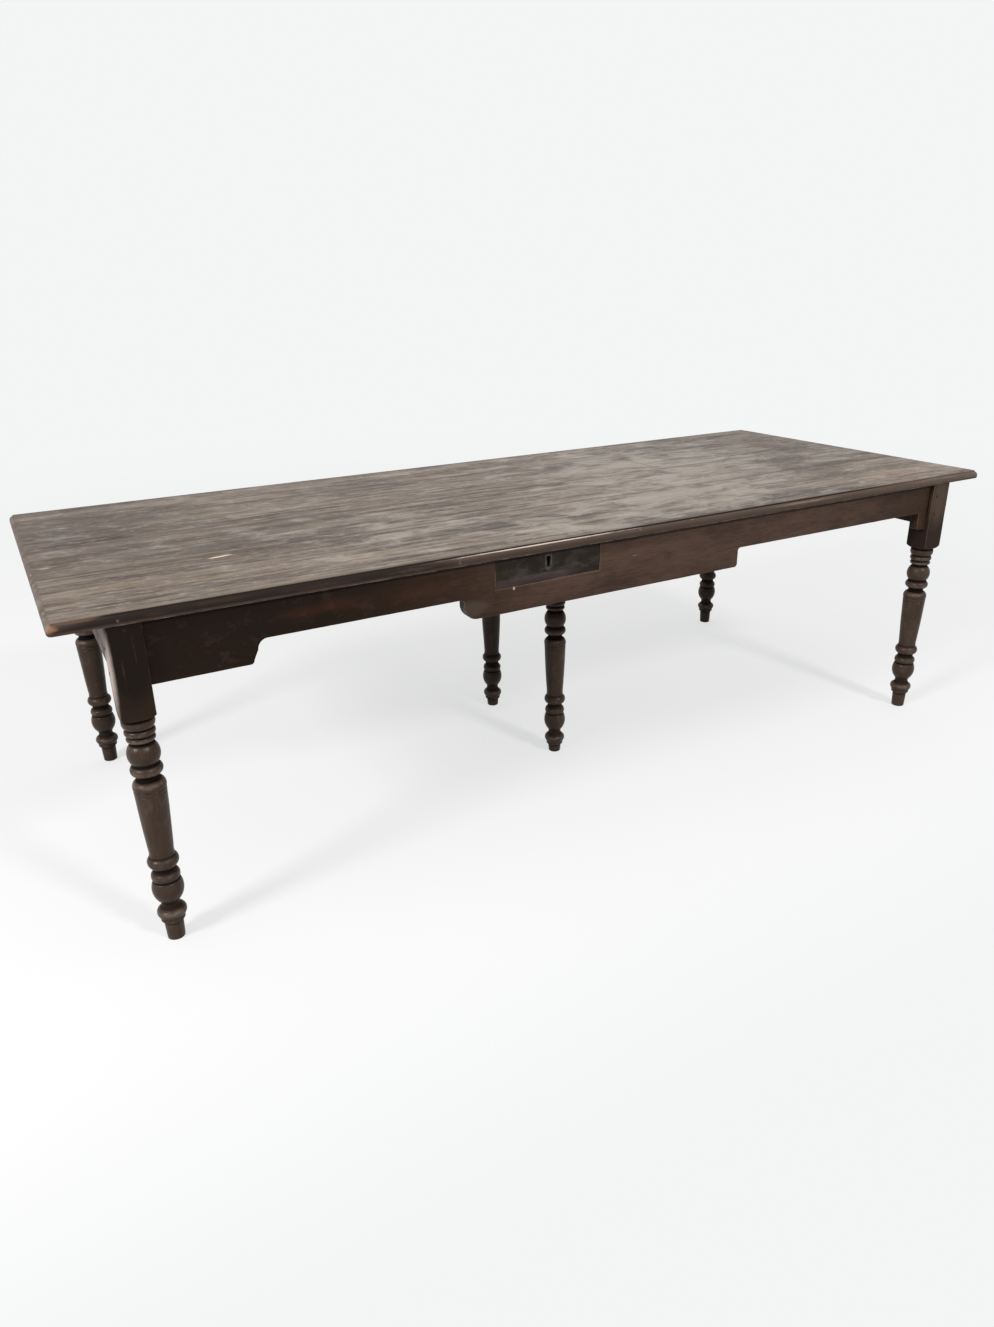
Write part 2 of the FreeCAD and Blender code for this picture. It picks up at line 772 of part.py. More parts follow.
def make_long_apron(name, depth_side):
    """Front or back apron, with housings inside for the cross rail and the drawer runners."""
    body = node("PartDesign::Body", name)
    front = depth_side == FRONT
    pad(body, f"{name}_board", "XZ_Plane", NONE, size.apron_thickness, stepped_outline(front))
    add_tenons(body, name, "XZ_Plane", frame_middle, clear_half, long_peg_heights)
    start = size.apron_thickness - size.housing_depth if front else -size.overrun
    depth = size.housing_depth + size.overrun
    half_rail = size.rail_thickness / 2
    low = (middle_leg_x - half_rail, -size.rail_depth)
    high = (middle_leg_x + half_rail, size.overrun)
    cut(body, f"{name}_rail_housing", "XZ_Plane", start, depth, box_corners(low, high))
    for word, side, edge in (("left", LEFT, opening_left), ("right", RIGHT, opening_right)):
        corners = [(edge + u, v) for u, v in runner_section(side)]
        cut(body, f"{name}_{word}_runner_housing", "XZ_Plane", start, depth, corners)
    place(body, y=-apron_face if front else apron_back, z=underside)


def make_end_apron(name, side):
    """Straight apron at one end, drilled in its top edge for the pegs of the top boards."""
    body = node("PartDesign::Body", name)
    board = box_corners((-clear_half_end, -size.apron_depth), (clear_half_end, NONE))
    pad(body, f"{name}_board", "YZ_Plane", NONE, size.apron_thickness, board)
    add_tenons(body, name, "YZ_Plane", NONE, clear_half_end, end_peg_heights)
    depth = size.top_peg_reach
    centres = [(size.apron_thickness / 2, (low + high) / 2) for low, high in board_edges()]
    hole = size.top_peg_radius + size.peg_clearance
    drill(body, f"{name}_top_peg_holes", "XY_Plane", -depth, depth + size.overrun, centres, hole)
    low_x = end_apron_face - size.apron_thickness if side > 0 else -end_apron_face
    place(body, x=frame_middle + low_x, z=underside)


def make_aprons():
    make_long_apron("front_apron", FRONT)
    make_long_apron("back_apron", BACK)
    make_end_apron("left_end_apron", LEFT)
    make_end_apron("right_end_apron", RIGHT)


def make_glue_blocks():
    """Square blocks rubbed into the angle between the long aprons and the top."""
    blocks = []
    square = size.glue_block_square
    middles = [share * (opening_left - clear_left) + clear_left for share in LEFT_BLOCK_SHARES]
    middles += [share * (clear_right - middle_leg_x) + middle_leg_x for share in RIGHT_BLOCK_SHARES]
    for depth_word, depth_side in (("front", FRONT), ("back", BACK)):
        y = -apron_back if depth_side == FRONT else apron_back - square
        for i, middle in enumerate(middles):
            item = doc.addObject("Part::Box", f"glue_block_{depth_word}_{i + 1}")
            low = (middle - size.glue_block_length / 2, y, underside - square)
            block(item, low, (size.glue_block_length, square, square))
            blocks.append(item)
    group("glue_blocks", blocks)


def make_runners():
    """L-shaped runners housed in both long aprons, with a stop behind each drawer side."""
    start = -apron_back - size.housing_depth
    length = 2 * (apron_back + size.housing_depth)
    for word, side, edge in (("left", LEFT, opening_left), ("right", RIGHT, opening_right)):
        body = node("PartDesign::Body", f"drawer_runner_{word}")
        pad(body, f"drawer_runner_{word}_strip", "XZ_Plane", start, length, runner_section(side))
        place(body, x=edge, z=underside)
        stop = node("Part::Box", f"drawer_stop_{word}")
        x = edge if side < 0 else edge - size.bearing_width
        y = drawer_y + size.drawer_length + size.run_clearance
        low = (x, y, underside - size.opening_depth)
        block(stop, low, (size.bearing_width, size.stop_length, size.stop_height))


def drawer_node(name):
    """A drawer piece, measured from the middle of the drawer's width, its face and its lower edge."""
    body = node("PartDesign::Body", name)
    place(body, drawer_x, drawer_y, drawer_z)
    return body


# Places inside the drawer and its lock, measured like the drawer pieces
side_inner = drawer_half - size.drawer_side_thickness
groove_top = size.drawer_bottom_lift + size.drawer_bottom_thickness
back_low_y = size.drawer_length - size.drawer_back_inset - size.drawer_back_thickness
plate_half = size.works_width / 2 + size.plate_margin
plate_low_z = drawer_height - size.works_height - size.plate_lip
plate_low_y = size.drawer_front_thickness - size.plate_thickness
works_low_y = plate_low_y - size.works_depth
bolt_thickness = size.works_depth - size.cap_thickness - 2 * size.bolt_clearance
bolt_low_y = works_low_y + size.cap_thickness + size.bolt_clearance
bolt_top = drawer_height - size.bolt_clearance
bolt_shoulder = drawer_height - size.plate_thickness - size.bolt_throw - 2 * size.bolt_clearance
bridge_low = bolt_shoulder - size.bolt_bridge
keyhole_z = bridge_low - size.lock_pin_gap - size.lock_pin_radius


def dovetails():
    """Tails of a drawer side, from their root at the back of the drawer front to their tip, in (y, z)."""
    outlines = []
    for share in DOVETAIL_SHARES:
        middle = share * drawer_height
        root = DOVETAIL_ROOT_SHARE * drawer_height
        tip = DOVETAIL_TIP_SHARE * drawer_height
        outlines.append([
            (size.drawer_front_thickness, middle - root),
            (size.drawer_front_thickness, middle + root),
            (size.dovetail_lap, middle + tip),
            (size.dovetail_lap, middle - tip),
        ])
    return outlines


def keyhole_outline(ease):
    """Keyhole: a round head over a slot that ends in a half circle."""
    head = size.keyhole_width / 2 + ease
    foot = size.keyhole_foot / 2 + ease
    low = keyhole_z + head - size.keyhole_height
    return [
        (NONE, keyhole_z + head, QUARTER_SHARE * head),
        (-head, keyhole_z, QUARTER_SHARE * head),
        (-foot, low + foot),
        (NONE, low, QUARTER_SHARE * foot),
        (foot, low + foot, QUARTER_SHARE * foot),
        (head, keyhole_z),
    ]


def escutcheon_outline():
    """Escutcheon plate: square at the top and round at the bottom."""
    half = size.escutcheon_width / 2
    top = keyhole_z + size.keyhole_width / 2 + size.escutcheon_margin
    low = top - size.escutcheon_height
    round_swell = QUARTER_SHARE * half
    return [
        (half, top),
        (-half, top),
        (-half, low + half),
        (NONE, low, round_swell),
        (half, low + half, round_swell),
    ]


def screw_places():
    """Screws at the corners of the lock plate, in (x, z)."""
    across = plate_half - size.plate_margin / 2
    high = drawer_height - 2 * size.lock_screw_inset
    low = plate_low_z + size.lock_screw_inset
    return [(side * across, z) for side in (LEFT, RIGHT) for z in (low, high)]


def make_drawer_front():
    body = drawer_node("drawer_front")
    thickness = size.drawer_front_thickness
    board = box_corners((-drawer_half, NONE), (drawer_half, drawer_height))
    pad(body, "drawer_front_board", "XZ_Plane", NONE, thickness, board)
    for word, start in (("left", -drawer_half - size.overrun), ("right", side_inner)):
        depth = size.drawer_side_thickness + size.overrun
        cut(body, f"drawer_front_{word}_sockets", "YZ_Plane", start, depth, *dovetails())
    reach = side_inner + size.drawer_groove
    groove = box_corners((-reach, size.drawer_bottom_lift), (reach, groove_top))
    groove_depth = size.drawer_groove + size.overrun
    cut(body, "drawer_front_groove", "XZ_Plane", thickness - size.drawer_groove, groove_depth, groove)
    above = drawer_height + size.overrun
    plate = box_corners((-plate_half, plate_low_z), (plate_half, above))
    plate_depth = size.plate_thickness + size.overrun
    cut(body, "drawer_front_plate_recess", "XZ_Plane", plate_low_y, plate_depth, plate)
    half_works = size.works_width / 2
    works = box_corners((-half_works, drawer_height - size.works_height), (half_works, above))
    cut(body, "drawer_front_works_recess", "XZ_Plane", works_low_y, size.works_depth, works)
    shelf = box_corners((-plate_half, drawer_height - size.plate_thickness), (plate_half, above))
    cut(body, "drawer_front_selvedge_recess", "XZ_Plane", works_low_y, size.works_depth, shelf)
    seat = size.escutcheon_thickness - size.escutcheon_proud + size.overrun
    cut(body, "drawer_front_escutcheon_seat", "XZ_Plane", -size.overrun, seat, escutcheon_outline())
    cut(body, "drawer_front_keyhole", "XZ_Plane", NONE, thickness, keyhole_outline(size.bolt_clearance))
    start = thickness - size.lock_screw_length
    hole = size.lock_screw_radius + size.peg_clearance
    drill(body, "drawer_front_screw_holes", "XZ_Plane", start, size.lock_screw_length, screw_places(), hole)


def make_drawer_sides():
    length = size.drawer_length
    thickness = size.drawer_side_thickness
    for word, side in (("left", LEFT), ("right", RIGHT)):
        body = drawer_node(f"drawer_side_{word}")
        start = -drawer_half if side < 0 else side_inner
        board = box_corners((size.drawer_front_thickness, NONE), (length, drawer_height))
        pad(body, f"drawer_side_{word}_board", "YZ_Plane", start, thickness, board)
        pad(body, f"drawer_side_{word}_tails", "YZ_Plane", start, thickness, *dovetails())
        cut_start = -side_inner - size.drawer_groove if side < 0 else side_inner - size.overrun
        depth = size.drawer_groove + size.overrun
        low = (size.drawer_front_thickness - size.drawer_groove, size.drawer_bottom_lift)
        groove = box_corners(low, (length + size.overrun, groove_top))
        cut(body, f"drawer_side_{word}_groove", "YZ_Plane", cut_start, depth, groove)
        high = (back_low_y + size.drawer_back_thickness, drawer_height + size.overrun)
        housing = box_corners((back_low_y, groove_top), high)
        cut(body, f"drawer_side_{word}_back_housing", "YZ_Plane", cut_start, depth, housing)


def make_drawer_back_and_bottom():
    """Back housed in the sides, over a bottom that slides in below it and is nailed to it."""
    reach = side_inner + size.drawer_groove
    back = drawer_node("drawer_back")
    board = box_corners((-reach, groove_top), (reach, drawer_height - size.drawer_back_drop))
    pad(back, "drawer_back_board", "XZ_Plane", back_low_y, size.drawer_back_thickness, board)
    bottom = drawer_node("drawer_bottom")
    low = (-reach, size.drawer_front_thickness - size.drawer_groove)
    panel = box_corners(low, (reach, size.drawer_length))
    lift = size.drawer_bottom_lift
    pad(bottom, "drawer_bottom_panel", "XY_Plane", lift, size.drawer_bottom_thickness, panel)
    y = back_low_y + size.drawer_back_thickness / 2
    centres = [(share * side_inner if share else NONE, y) for share in NAIL_SHARES]
    hole = size.nail_radius + size.peg_clearance
    rise = size.nail_length - size.drawer_bottom_thickness + size.overrun
    drill(back, "drawer_back_nail_holes", "XY_Plane", groove_top - size.overrun, rise, centres, hole)
    through = size.drawer_bottom_thickness + 2 * size.overrun
    drill(bottom, "drawer_bottom_nail_holes", "XY_Plane", lift - size.overrun, through, centres, hole)
    nails = []
    for i, (x, at) in enumerate(centres):
        start = (drawer_x + x, drawer_y + at, drawer_z + lift)
        nails.append(rod(f"drawer_nail_{i + 1}", size.nail_radius, size.nail_length, start, UP))
    group("drawer_nails", nails)


def make_lock():
    """Escutcheon on the face, and the lock let into the back of the drawer front."""
    escutcheon = drawer_node("escutcheon")
    thickness = size.escutcheon_thickness
    pad(escutcheon, "escutcheon_plate", "XZ_Plane", -size.escutcheon_proud, thickness, escutcheon_outline())
    through = thickness + 2 * size.overrun
    cut(escutcheon, "escutcheon_keyhole", "XZ_Plane", -size.overrun, through, keyhole_outline(NONE))

    plate = drawer_node("lock_plate")
    face = box_corners((-plate_half, plate_low_z), (plate_half, drawer_height))
    pad(plate, "lock_plate_face", "XZ_Plane", plate_low_y, size.plate_thickness, face)
    selvedge = box_corners((-plate_half, drawer_height - size.plate_thickness), (plate_half, drawer_height))
    pad(plate, "lock_plate_selvedge", "XZ_Plane", works_low_y, size.works_depth, selvedge)
    half_slot = size.bolt_head_width / 2 + size.bolt_clearance
    slot_low = (-half_slot, bolt_low_y - size.bolt_clearance)
    slot_high = (half_slot, plate_low_y)
    slot_depth = size.plate_thickness + 2 * size.overrun
    slot_start = drawer_height - size.plate_thickness - size.overrun
    cut(plate, "lock_plate_bolt_slot", "XY_Plane", slot_start, slot_depth, box_corners(slot_low, slot_high))
    screw_hole = size.lock_screw_radius + size.peg_clearance
    start = plate_low_y - size.overrun
    drill(plate, "lock_plate_screw_holes", "XZ_Plane", start, slot_depth, screw_places(), screw_hole)

    cap = drawer_node("lock_cap")
    half_works = size.works_width / 2
    low = (-half_works, drawer_height - size.works_height)
    panel = box_corners(low, (half_works, drawer_height - size.plate_thickness))
    pad(cap, "lock_cap_panel", "XZ_Plane", works_low_y, size.cap_thickness, panel)
    cap_through = size.cap_thickness + 2 * size.overrun
    cut(cap, "lock_cap_keyhole", "XZ_Plane", works_low_y - size.overrun, cap_through, keyhole_outline(NONE))

    bolt = drawer_node("lock_bolt")
    half = half_works - size.bolt_side_gap
    half_head = size.bolt_head_width / 2
    foot = drawer_height - size.works_height + size.bolt_foot_gap
    inner = half - size.bolt_leg
    outline = [
        (-half, foot),
        (-inner, foot),
        (-inner, bridge_low),
        (inner, bridge_low),
        (inner, foot),
        (half, foot),
        (half, bolt_shoulder),
        (half_head, bolt_shoulder),
        (half_head, bolt_top),
        (-half_head, bolt_top),
        (-half_head, bolt_shoulder),
        (-half, bolt_shoulder),
    ]
    pad(bolt, "lock_bolt_plate", "XZ_Plane", bolt_low_y, bolt_thickness, outline)

    pin_start = (drawer_x, drawer_y + plate_low_y - size.lock_pin_length, drawer_z + keyhole_z)
    pin = rod("lock_pin", size.lock_pin_radius, size.lock_pin_length, pin_start, BACKWARD)
    nodes.append(pin)

    screws = []
    length = size.lock_screw_length
    screw_y = drawer_y + size.drawer_front_thickness - length
    for i, (x, z) in enumerate(screw_places()):
        start = (drawer_x + x, screw_y, drawer_z + z)
        screws.append(rod(f"lock_screw_{i + 1}", size.lock_screw_radius, length, start, BACKWARD))
    group("lock_screws", screws)


def check(doc):
    """Stop if any object failed, any sub-part is empty or invalid, or any cut took nothing away."""
    for item in doc.Objects:
        if {"Invalid", "Error"} & set(item.State):
            raise RuntimeError(f"{item.Name} failed: {item.State}")
        if item.TypeId in ("PartDesign::Pocket", "PartDesign::Groove"):
            if item.BaseFeature.Shape.Volume <= item.Shape.Volume:
                raise RuntimeError(f"{item.Name} cuts nothing")
    for item in nodes:
        if item.Shape.isNull() or not item.Shape.isValid():
            raise RuntimeError(f"{item.Label} has no valid shape")


def write_parts():
    os.makedirs("parts", exist_ok=True)
    for item in nodes:
        item.Shape.exportStep(f"parts/{item.Label}.step")
        print(item.Label, len(item.Shape.Solids), round(item.Shape.Volume))


make_top()
make_aprons()
make_corner_legs()
make_middle_legs()
make_glue_blocks()
make_runners()
make_drawer_front()
make_drawer_sides()
make_drawer_back_and_bottom()
make_lock()
doc.recompute()
check(doc)
write_parts()
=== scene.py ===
"""Looks of an old refectory table with one drawer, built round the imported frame, in metres."""
import logging
import math
from dataclasses import dataclass, field, replace
from enum import Enum
from functools import lru_cache
from typing import Callable, Sequence

import bmesh
import bpy
import numpy as np
from mathutils import Matrix, Vector, noise


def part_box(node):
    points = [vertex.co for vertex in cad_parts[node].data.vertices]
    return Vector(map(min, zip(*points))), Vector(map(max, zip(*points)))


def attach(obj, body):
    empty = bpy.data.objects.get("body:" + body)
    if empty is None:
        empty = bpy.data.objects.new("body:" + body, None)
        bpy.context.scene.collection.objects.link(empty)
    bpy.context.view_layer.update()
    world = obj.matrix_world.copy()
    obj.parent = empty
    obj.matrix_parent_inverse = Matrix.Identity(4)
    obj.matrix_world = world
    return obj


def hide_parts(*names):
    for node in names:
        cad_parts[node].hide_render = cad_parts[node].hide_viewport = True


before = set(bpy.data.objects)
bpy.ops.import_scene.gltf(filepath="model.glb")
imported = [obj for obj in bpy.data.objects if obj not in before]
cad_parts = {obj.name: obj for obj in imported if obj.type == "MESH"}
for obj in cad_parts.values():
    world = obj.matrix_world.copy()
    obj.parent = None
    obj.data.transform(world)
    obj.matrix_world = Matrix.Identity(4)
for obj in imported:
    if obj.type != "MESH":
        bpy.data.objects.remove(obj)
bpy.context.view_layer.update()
LOG = logging.getLogger("refectory_table")
Socket = bpy.types.NodeSocket
Span = tuple[float, float]
Place = tuple[float, float, float]
EdgeTest = Callable[[Vector, Vector], bool]

MM = 0.001
# Points closer than HAIR are one point, and points closer than NEAR to a plane lie in it
HAIR = 0.001 * MM
NEAR = 0.01 * MM
# Shares of growth rings, streaks and fibres in the figure of a wood
FIGURE_SHARES = (0.24, 0.5, 0.26)
# Levels of the noises between which a pattern comes in
FIGURE_WINDOW = (0.6, 0.4)
SCUFF_WINDOW = (0.53, 0.66)
PORE_WINDOW = (0.54, 0.72)
WORN_WINDOW = (1.0, 1.55)
POLISH_WINDOW = (0.35, 0.65)
TARNISH_WINDOW = (0.4, 0.62)
# How far a shift moves a pattern, and a seed moves ripples, on X, Y and Z
SHIFT_WAY = (1.0, 1.7, 2.3)
SEED_WAY = (3.7, 5.3, 7.9)
# Shift of the streaks against the rings of the same wood
STREAK_SHIFT = 0.5
# Marks smaller than this have an outline torn by scuffs, and larger ones by clouds
SMALL_MARK_MM = 90.0
# Level of dirt that hands leave, between clean wood and a filled hollow; the same levels carry painted shade
HALF_DIRTY = 0.6
# Roughness of wood under thick dirt
DIRTY_ROUGHNESS = 1.0
BUMP_STRENGTH = 0.8
# Edges that turn less than FLAT_DEG are none, and those that turn more than CRISP_DEG can be rubbed
FLAT_DEG = 0.5
CRISP_DEG = 30.0
# Edges that stay sharp on rubbed copies, and those that are eased on kept nodes
SHARP_DEG = 35.0
EASED_DEG = 50.0
RUBBED_SEGMENTS = 3
EASED_SEGMENTS = 2
# Width of a dent, and depth of dents beside a rubbed strip as a share of those on it
DENT_WIDTH_MM = 30.0
DENT_BESIDE = 0.3
# Blender seeds the dents' noise from the clock otherwise, so that no two runs would be alike
DENT_SEED = 1


class Grain(Enum):
    """Direction that the fibres of a piece run in."""

    ALONG_X = 0
    ALONG_Y = 1
    ALONG_Z = 2

    def spread(self, size: Span) -> Vector:
        """Lengths on X, Y and Z of a pattern with a length along and a width across the fibres."""
        along, across = size
        return Vector([along if axis == self.value else across for axis in range(3)])


class Pattern(Enum):
    """Noises that patterns are drawn from: octaves, curl, and strength of each finer octave."""

    RINGS = (3.0, 0.6, 0.6)
    STREAKS = (6.0, 0.3, 0.7)
    FIBRES = (5.0, 0.0, 0.7)
    PLAIN = (2.0, 0.0, 0.6)
    CLOUDS = (7.0, 0.5, 0.65)
    SCUFFS = (5.0, 0.2, 0.65)
    TARNISH = (5.0, 0.0, 0.6)


class Slot(Enum):
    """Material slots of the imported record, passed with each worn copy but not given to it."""

    TOP = "scrubbed_top_wood"
    FRAME = "stained_frame_wood"
    DRAWER_FRONT = "dark_drawer_wood"
    INNER = "bare_inner_wood"


class Body(Enum):
    """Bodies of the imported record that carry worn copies."""

    TABLE = "table"
    DRAWER = "drawer"


def linear(colour: str) -> tuple[float, ...]:
    """Linear colour, with alpha, of an sRGB hex value."""
    levels = [int(colour[at:at + 2], 16) / 255 for at in (1, 3, 5)]
    return tuple(v / 12.92 if v <= 0.04045 else ((v + 0.055) / 1.055) ** 2.4 for v in levels) + (1.0,)


def add_node(
    tree: bpy.types.NodeTree, kind: str, inputs: dict | None = None, **settings: object
) -> bpy.types.Node:
    """Add one shader node.

    Args:
        tree: Tree that gets the node.
        kind: Blender's name of the node after ShaderNode.
        inputs: Value, or socket to link, of each input by its name or number.
        settings: Properties of the node.

    Returns:
        The new node.
    """
    node = tree.nodes.new("ShaderNode" + kind)
    for name, value in settings.items():
        setattr(node, name, value)
    for key, value in (inputs or {}).items():
        if isinstance(value, Socket):
            tree.links.new(value, node.inputs[key])
        else:
            node.inputs[key].default_value = value
    return node


class Shade:
    """A material while its nodes are put together, drawn in the piece's own metres."""

    def __init__(self, name: str) -> None:
        """Start an empty material.

        Args:
            name: Name of the material.
        """
        self.material = bpy.data.materials.new(name)
        self.material.use_nodes = True
        self.tree = self.material.node_tree
        self.tree.nodes.clear()
        self.place = add_node(self.tree, "TexCoord").outputs["Object"]
        self.layers: list[tuple[Socket, str]] = []

    def streaks(self, pattern: Pattern, lengths_mm: Sequence[float], shift: float = 0.0) -> bpy.types.Node:
        """Draw noise out to a real length on each axis.

        Args:
            pattern: Kind of noise.
            lengths_mm: Size of one blot on X, Y and Z.
            shift: Moves the pattern, so that two pieces differ.

        Returns:
            The noise node, with its level first and its colour second.
        """
        scale = [1.0 / (length * MM) for length in lengths_mm]
        inputs = {"Vector": self.place, "Scale": scale, "Location": [way * shift for way in SHIFT_WAY]}
        spot = add_node(self.tree, "Mapping", inputs).outputs[0]
        detail, twist, grit = pattern.value
        inputs = {"Vector": spot, "Scale": 1.0, "Detail": detail, "Roughness": grit, "Distortion": twist}
        return add_node(self.tree, "TexNoise", inputs)

    def window(self, level: Socket, span: Span, depth: float = 1.0) -> Socket:
        """Turn the part of a level between two bounds into a mask.

        Args:
            level: Level to read.
            span: Levels where the mask is empty and where it is full.
            depth: Strength of the full mask.

        Returns:
            The mask.
        """
        inputs = {"Value": level, "From Min": span[0], "From Max": span[1], "To Min": 0.0, "To Max": depth}
        return add_node(self.tree, "MapRange", inputs, interpolation_type="SMOOTHSTEP").outputs[0]

    def combine(self, operation: str, first: Socket, second: Socket | float) -> Socket:
        """Combine two levels by one of Blender's operations."""
        return add_node(self.tree, "Math", {0: first, 1: second}, operation=operation).outputs[0]

    def lay(self, mask: Socket, tint: str) -> None:
        """Lay a colour over those laid before, where the mask is full."""
        self.layers.append((mask, tint))

    def finish(
        self, colour: Socket | Sequence[float], roughness: Socket, height: Socket, relief_mm: float,
        **fixed: float
    ) -> bpy.types.Material:
        """Lay the layers over the ground colour and close the material.

        Args:
            colour: Ground colour.
            roughness: Roughness all over.
            height: Level of the relief.
            relief_mm: Height of the relief.
            fixed: Shader inputs that are the same all over, by name.

        Returns:
            The material.
        """
        for mask, tint in self.layers:
            inputs = {0: mask, 6: colour, 7: linear(tint)}
            colour = add_node(self.tree, "Mix", inputs, data_type="RGBA").outputs[2]
        inputs = {"Height": height, "Distance": relief_mm * MM, "Strength": BUMP_STRENGTH}
        bump = add_node(self.tree, "Bump", inputs).outputs[0]
        inputs = {"Base Color": colour, "Roughness": roughness, "Normal": bump}
        inputs |= {name.replace("_", " "): value for name, value in fixed.items()}
        skin = add_node(self.tree, "BsdfPrincipled", inputs)
        add_node(self.tree, "OutputMaterial", {"Surface": skin.outputs[0]})
        return self.material


@dataclass(frozen=True)
class Mark:
    """A patch that use has left on a surface, or a painted highlight or shadow, with a ragged outline, in
    millimetres and degrees.
    """

    centre: Place
    reach: Place
    colour: str
    depth: float
    ragged: float = 0.9
    soft: float = 0.6
    turn_deg: float = 0.0

    def mask(self, shade: Shade, wobble: Socket) -> Socket:
        """Mask that is full in the middle of the patch.

        Args:
            shade: Material that carries the patch.
            wobble: Noise about zero that tears the outline.

        Returns:
            The mask.
        """
        centre, reach = ([size * MM for size in place] for place in (self.centre, self.reach))
        turn = (0.0, 0.0, math.radians(self.turn_deg))
        inputs = {"Vector": shade.place, "Location": centre, "Rotation": turn, "Scale": reach}
        local = add_node(shade.tree, "Mapping", inputs, vector_type="TEXTURE").outputs[0]
        inputs = {0: wobble, 1: (self.ragged,) * 3, 2: local}
        torn = add_node(shade.tree, "VectorMath", inputs, operation="MULTIPLY_ADD").outputs[0]
        far = add_node(shade.tree, "VectorMath", {0: torn}, operation="LENGTH").outputs["Value"]
        return shade.window(far, (1.0, 1.0 - self.soft), self.depth)


@dataclass(frozen=True)
class Wood:
    """A sawn and planed wood with its stain, wax and wear, and the highlights and shade painted on it.

    Sizes of its patterns are millimetres along and across the fibres.
    """

    name: str
    early: str
    late: str
    late_depth: float
    ring_mm: Span
    streak_mm: Span
    fibre_mm: Span
    pore_mm: Span
    pore: str
    pore_depth: float
    cloud_mm: Span
    cloud: str
    cloud_depth: float
    cloud_window: Span
    scuff_mm: Span
    scuff: str
    scuff_depth: float
    worn_and_sheen: str
    worn_and_sheen_depth: float
    handled_and_shade: str
    grime_and_shade: str
    grime_and_shade_depth: float
    rubbed: float
    dull: float
    gloss: float
    relief_mm: float
    zones: tuple[Mark, ...] = ()
    bleached_and_sheen: tuple[Mark, ...] = ()
    marks: tuple[Mark, ...] = ()
    bare_and_highlights: tuple[Mark, ...] = ()

    @lru_cache(maxsize=None)
    def material(self, grain: Grain, shift: float = 0.0) -> bpy.types.Material:
        """Make the wood for pieces of one grain direction.

        Args:
            grain: Direction of the fibres.
            shift: Moves the figure, so that boards differ.

        Returns:
            The material.
        """
        shade = Shade(f"{self.name}_{grain.name.lower()}_{shift:g}")
        tree = shade.tree
        rings = shade.streaks(Pattern.RINGS, grain.spread(self.ring_mm), shift).outputs[0]
        moved = shift + STREAK_SHIFT
        streaks = shade.streaks(Pattern.STREAKS, grain.spread(self.streak_mm), moved).outputs[0]
        fibre = shade.streaks(Pattern.FIBRES, grain.spread(self.fibre_mm), shift).outputs[0]
        pores = shade.streaks(Pattern.PLAIN, grain.spread(self.pore_mm), shift).outputs[0]
        clouds = shade.streaks(Pattern.CLOUDS, grain.spread(self.cloud_mm), shift)
        scuffs = shade.streaks(Pattern.SCUFFS, grain.spread(self.scuff_mm), shift)
        middle = (0.5, 0.5, 0.5)
        broad, fine = (
            add_node(tree, "VectorMath", {0: node.outputs[1], 1: middle}, operation="SUBTRACT").outputs[0]
            for node in (clouds, scuffs)
        )
        for zone in self.zones:
            shade.lay(zone.mask(shade, broad), zone.colour)
        levels = add_node(tree, "CombineXYZ", {0: rings, 1: streaks, 2: fibre}).outputs[0]
        inputs = {0: levels, 1: FIGURE_SHARES}
        figure = add_node(tree, "VectorMath", inputs, operation="DOT_PRODUCT").outputs["Value"]
        shade.lay(shade.window(figure, FIGURE_WINDOW, self.late_depth), self.late)
        haze = clouds.outputs[0]
        for zone in self.bleached_and_sheen:
            haze = shade.combine("ADD", haze, zone.mask(shade, broad))
        shade.lay(shade.window(haze, self.cloud_window, self.cloud_depth), self.cloud)
        shade.lay(shade.window(scuffs.outputs[0], SCUFF_WINDOW, self.scuff_depth), self.scuff)
        open_pores = shade.window(pores, PORE_WINDOW, self.pore_depth)
        shade.lay(open_pores, self.pore)
        for mark in self.marks:
            shade.lay(mark.mask(shade, fine if max(mark.reach) < SMALL_MARK_MM else broad), mark.colour)
        grime_and_shade, wear_and_sheen = (
            add_node(tree, "Attribute", attribute_name=word).outputs["Fac"] for word in ("grime_and_shade", "wear_and_sheen")
        )
        # Grime darkens in two steps, the brown of handling and the black of filled hollows; it also holds
        # painted shade in quirks and hollows.
        shade.lay(shade.window(grime_and_shade, (0.0, HALF_DIRTY), self.grime_and_shade_depth), self.handled_and_shade)
        shade.lay(shade.window(grime_and_shade, (HALF_DIRTY, 1.0), self.grime_and_shade_depth), self.grime_and_shade)
        # Wear lightens the wood where scuffs break it up; it also holds painted highlights on beads.
        broken = shade.combine("ADD", wear_and_sheen, scuffs.outputs[0])
        shade.lay(shade.window(broken, WORN_WINDOW, self.worn_and_sheen_depth), self.worn_and_sheen)
        # Bare wood and painted highlights go on last.
        for mark in self.bare_and_highlights:
            shade.lay(mark.mask(shade, fine), mark.colour)
        low, high = POLISH_WINDOW
        inputs = {"Value": haze, "From Min": low, "From Max": high}
        inputs |= {"To Min": self.dull, "To Max": self.rubbed}
        clean = add_node(tree, "MapRange", inputs).outputs[0]
        roughness = shade.combine("MAXIMUM", clean, shade.combine("MULTIPLY", grime_and_shade, DIRTY_ROUGHNESS))
        height = shade.combine("SUBTRACT", fibre, open_pores)
        gloss = {"Specular_IOR_Level": self.gloss}
        return shade.finish(linear(self.early), roughness, height, self.relief_mm, **gloss)


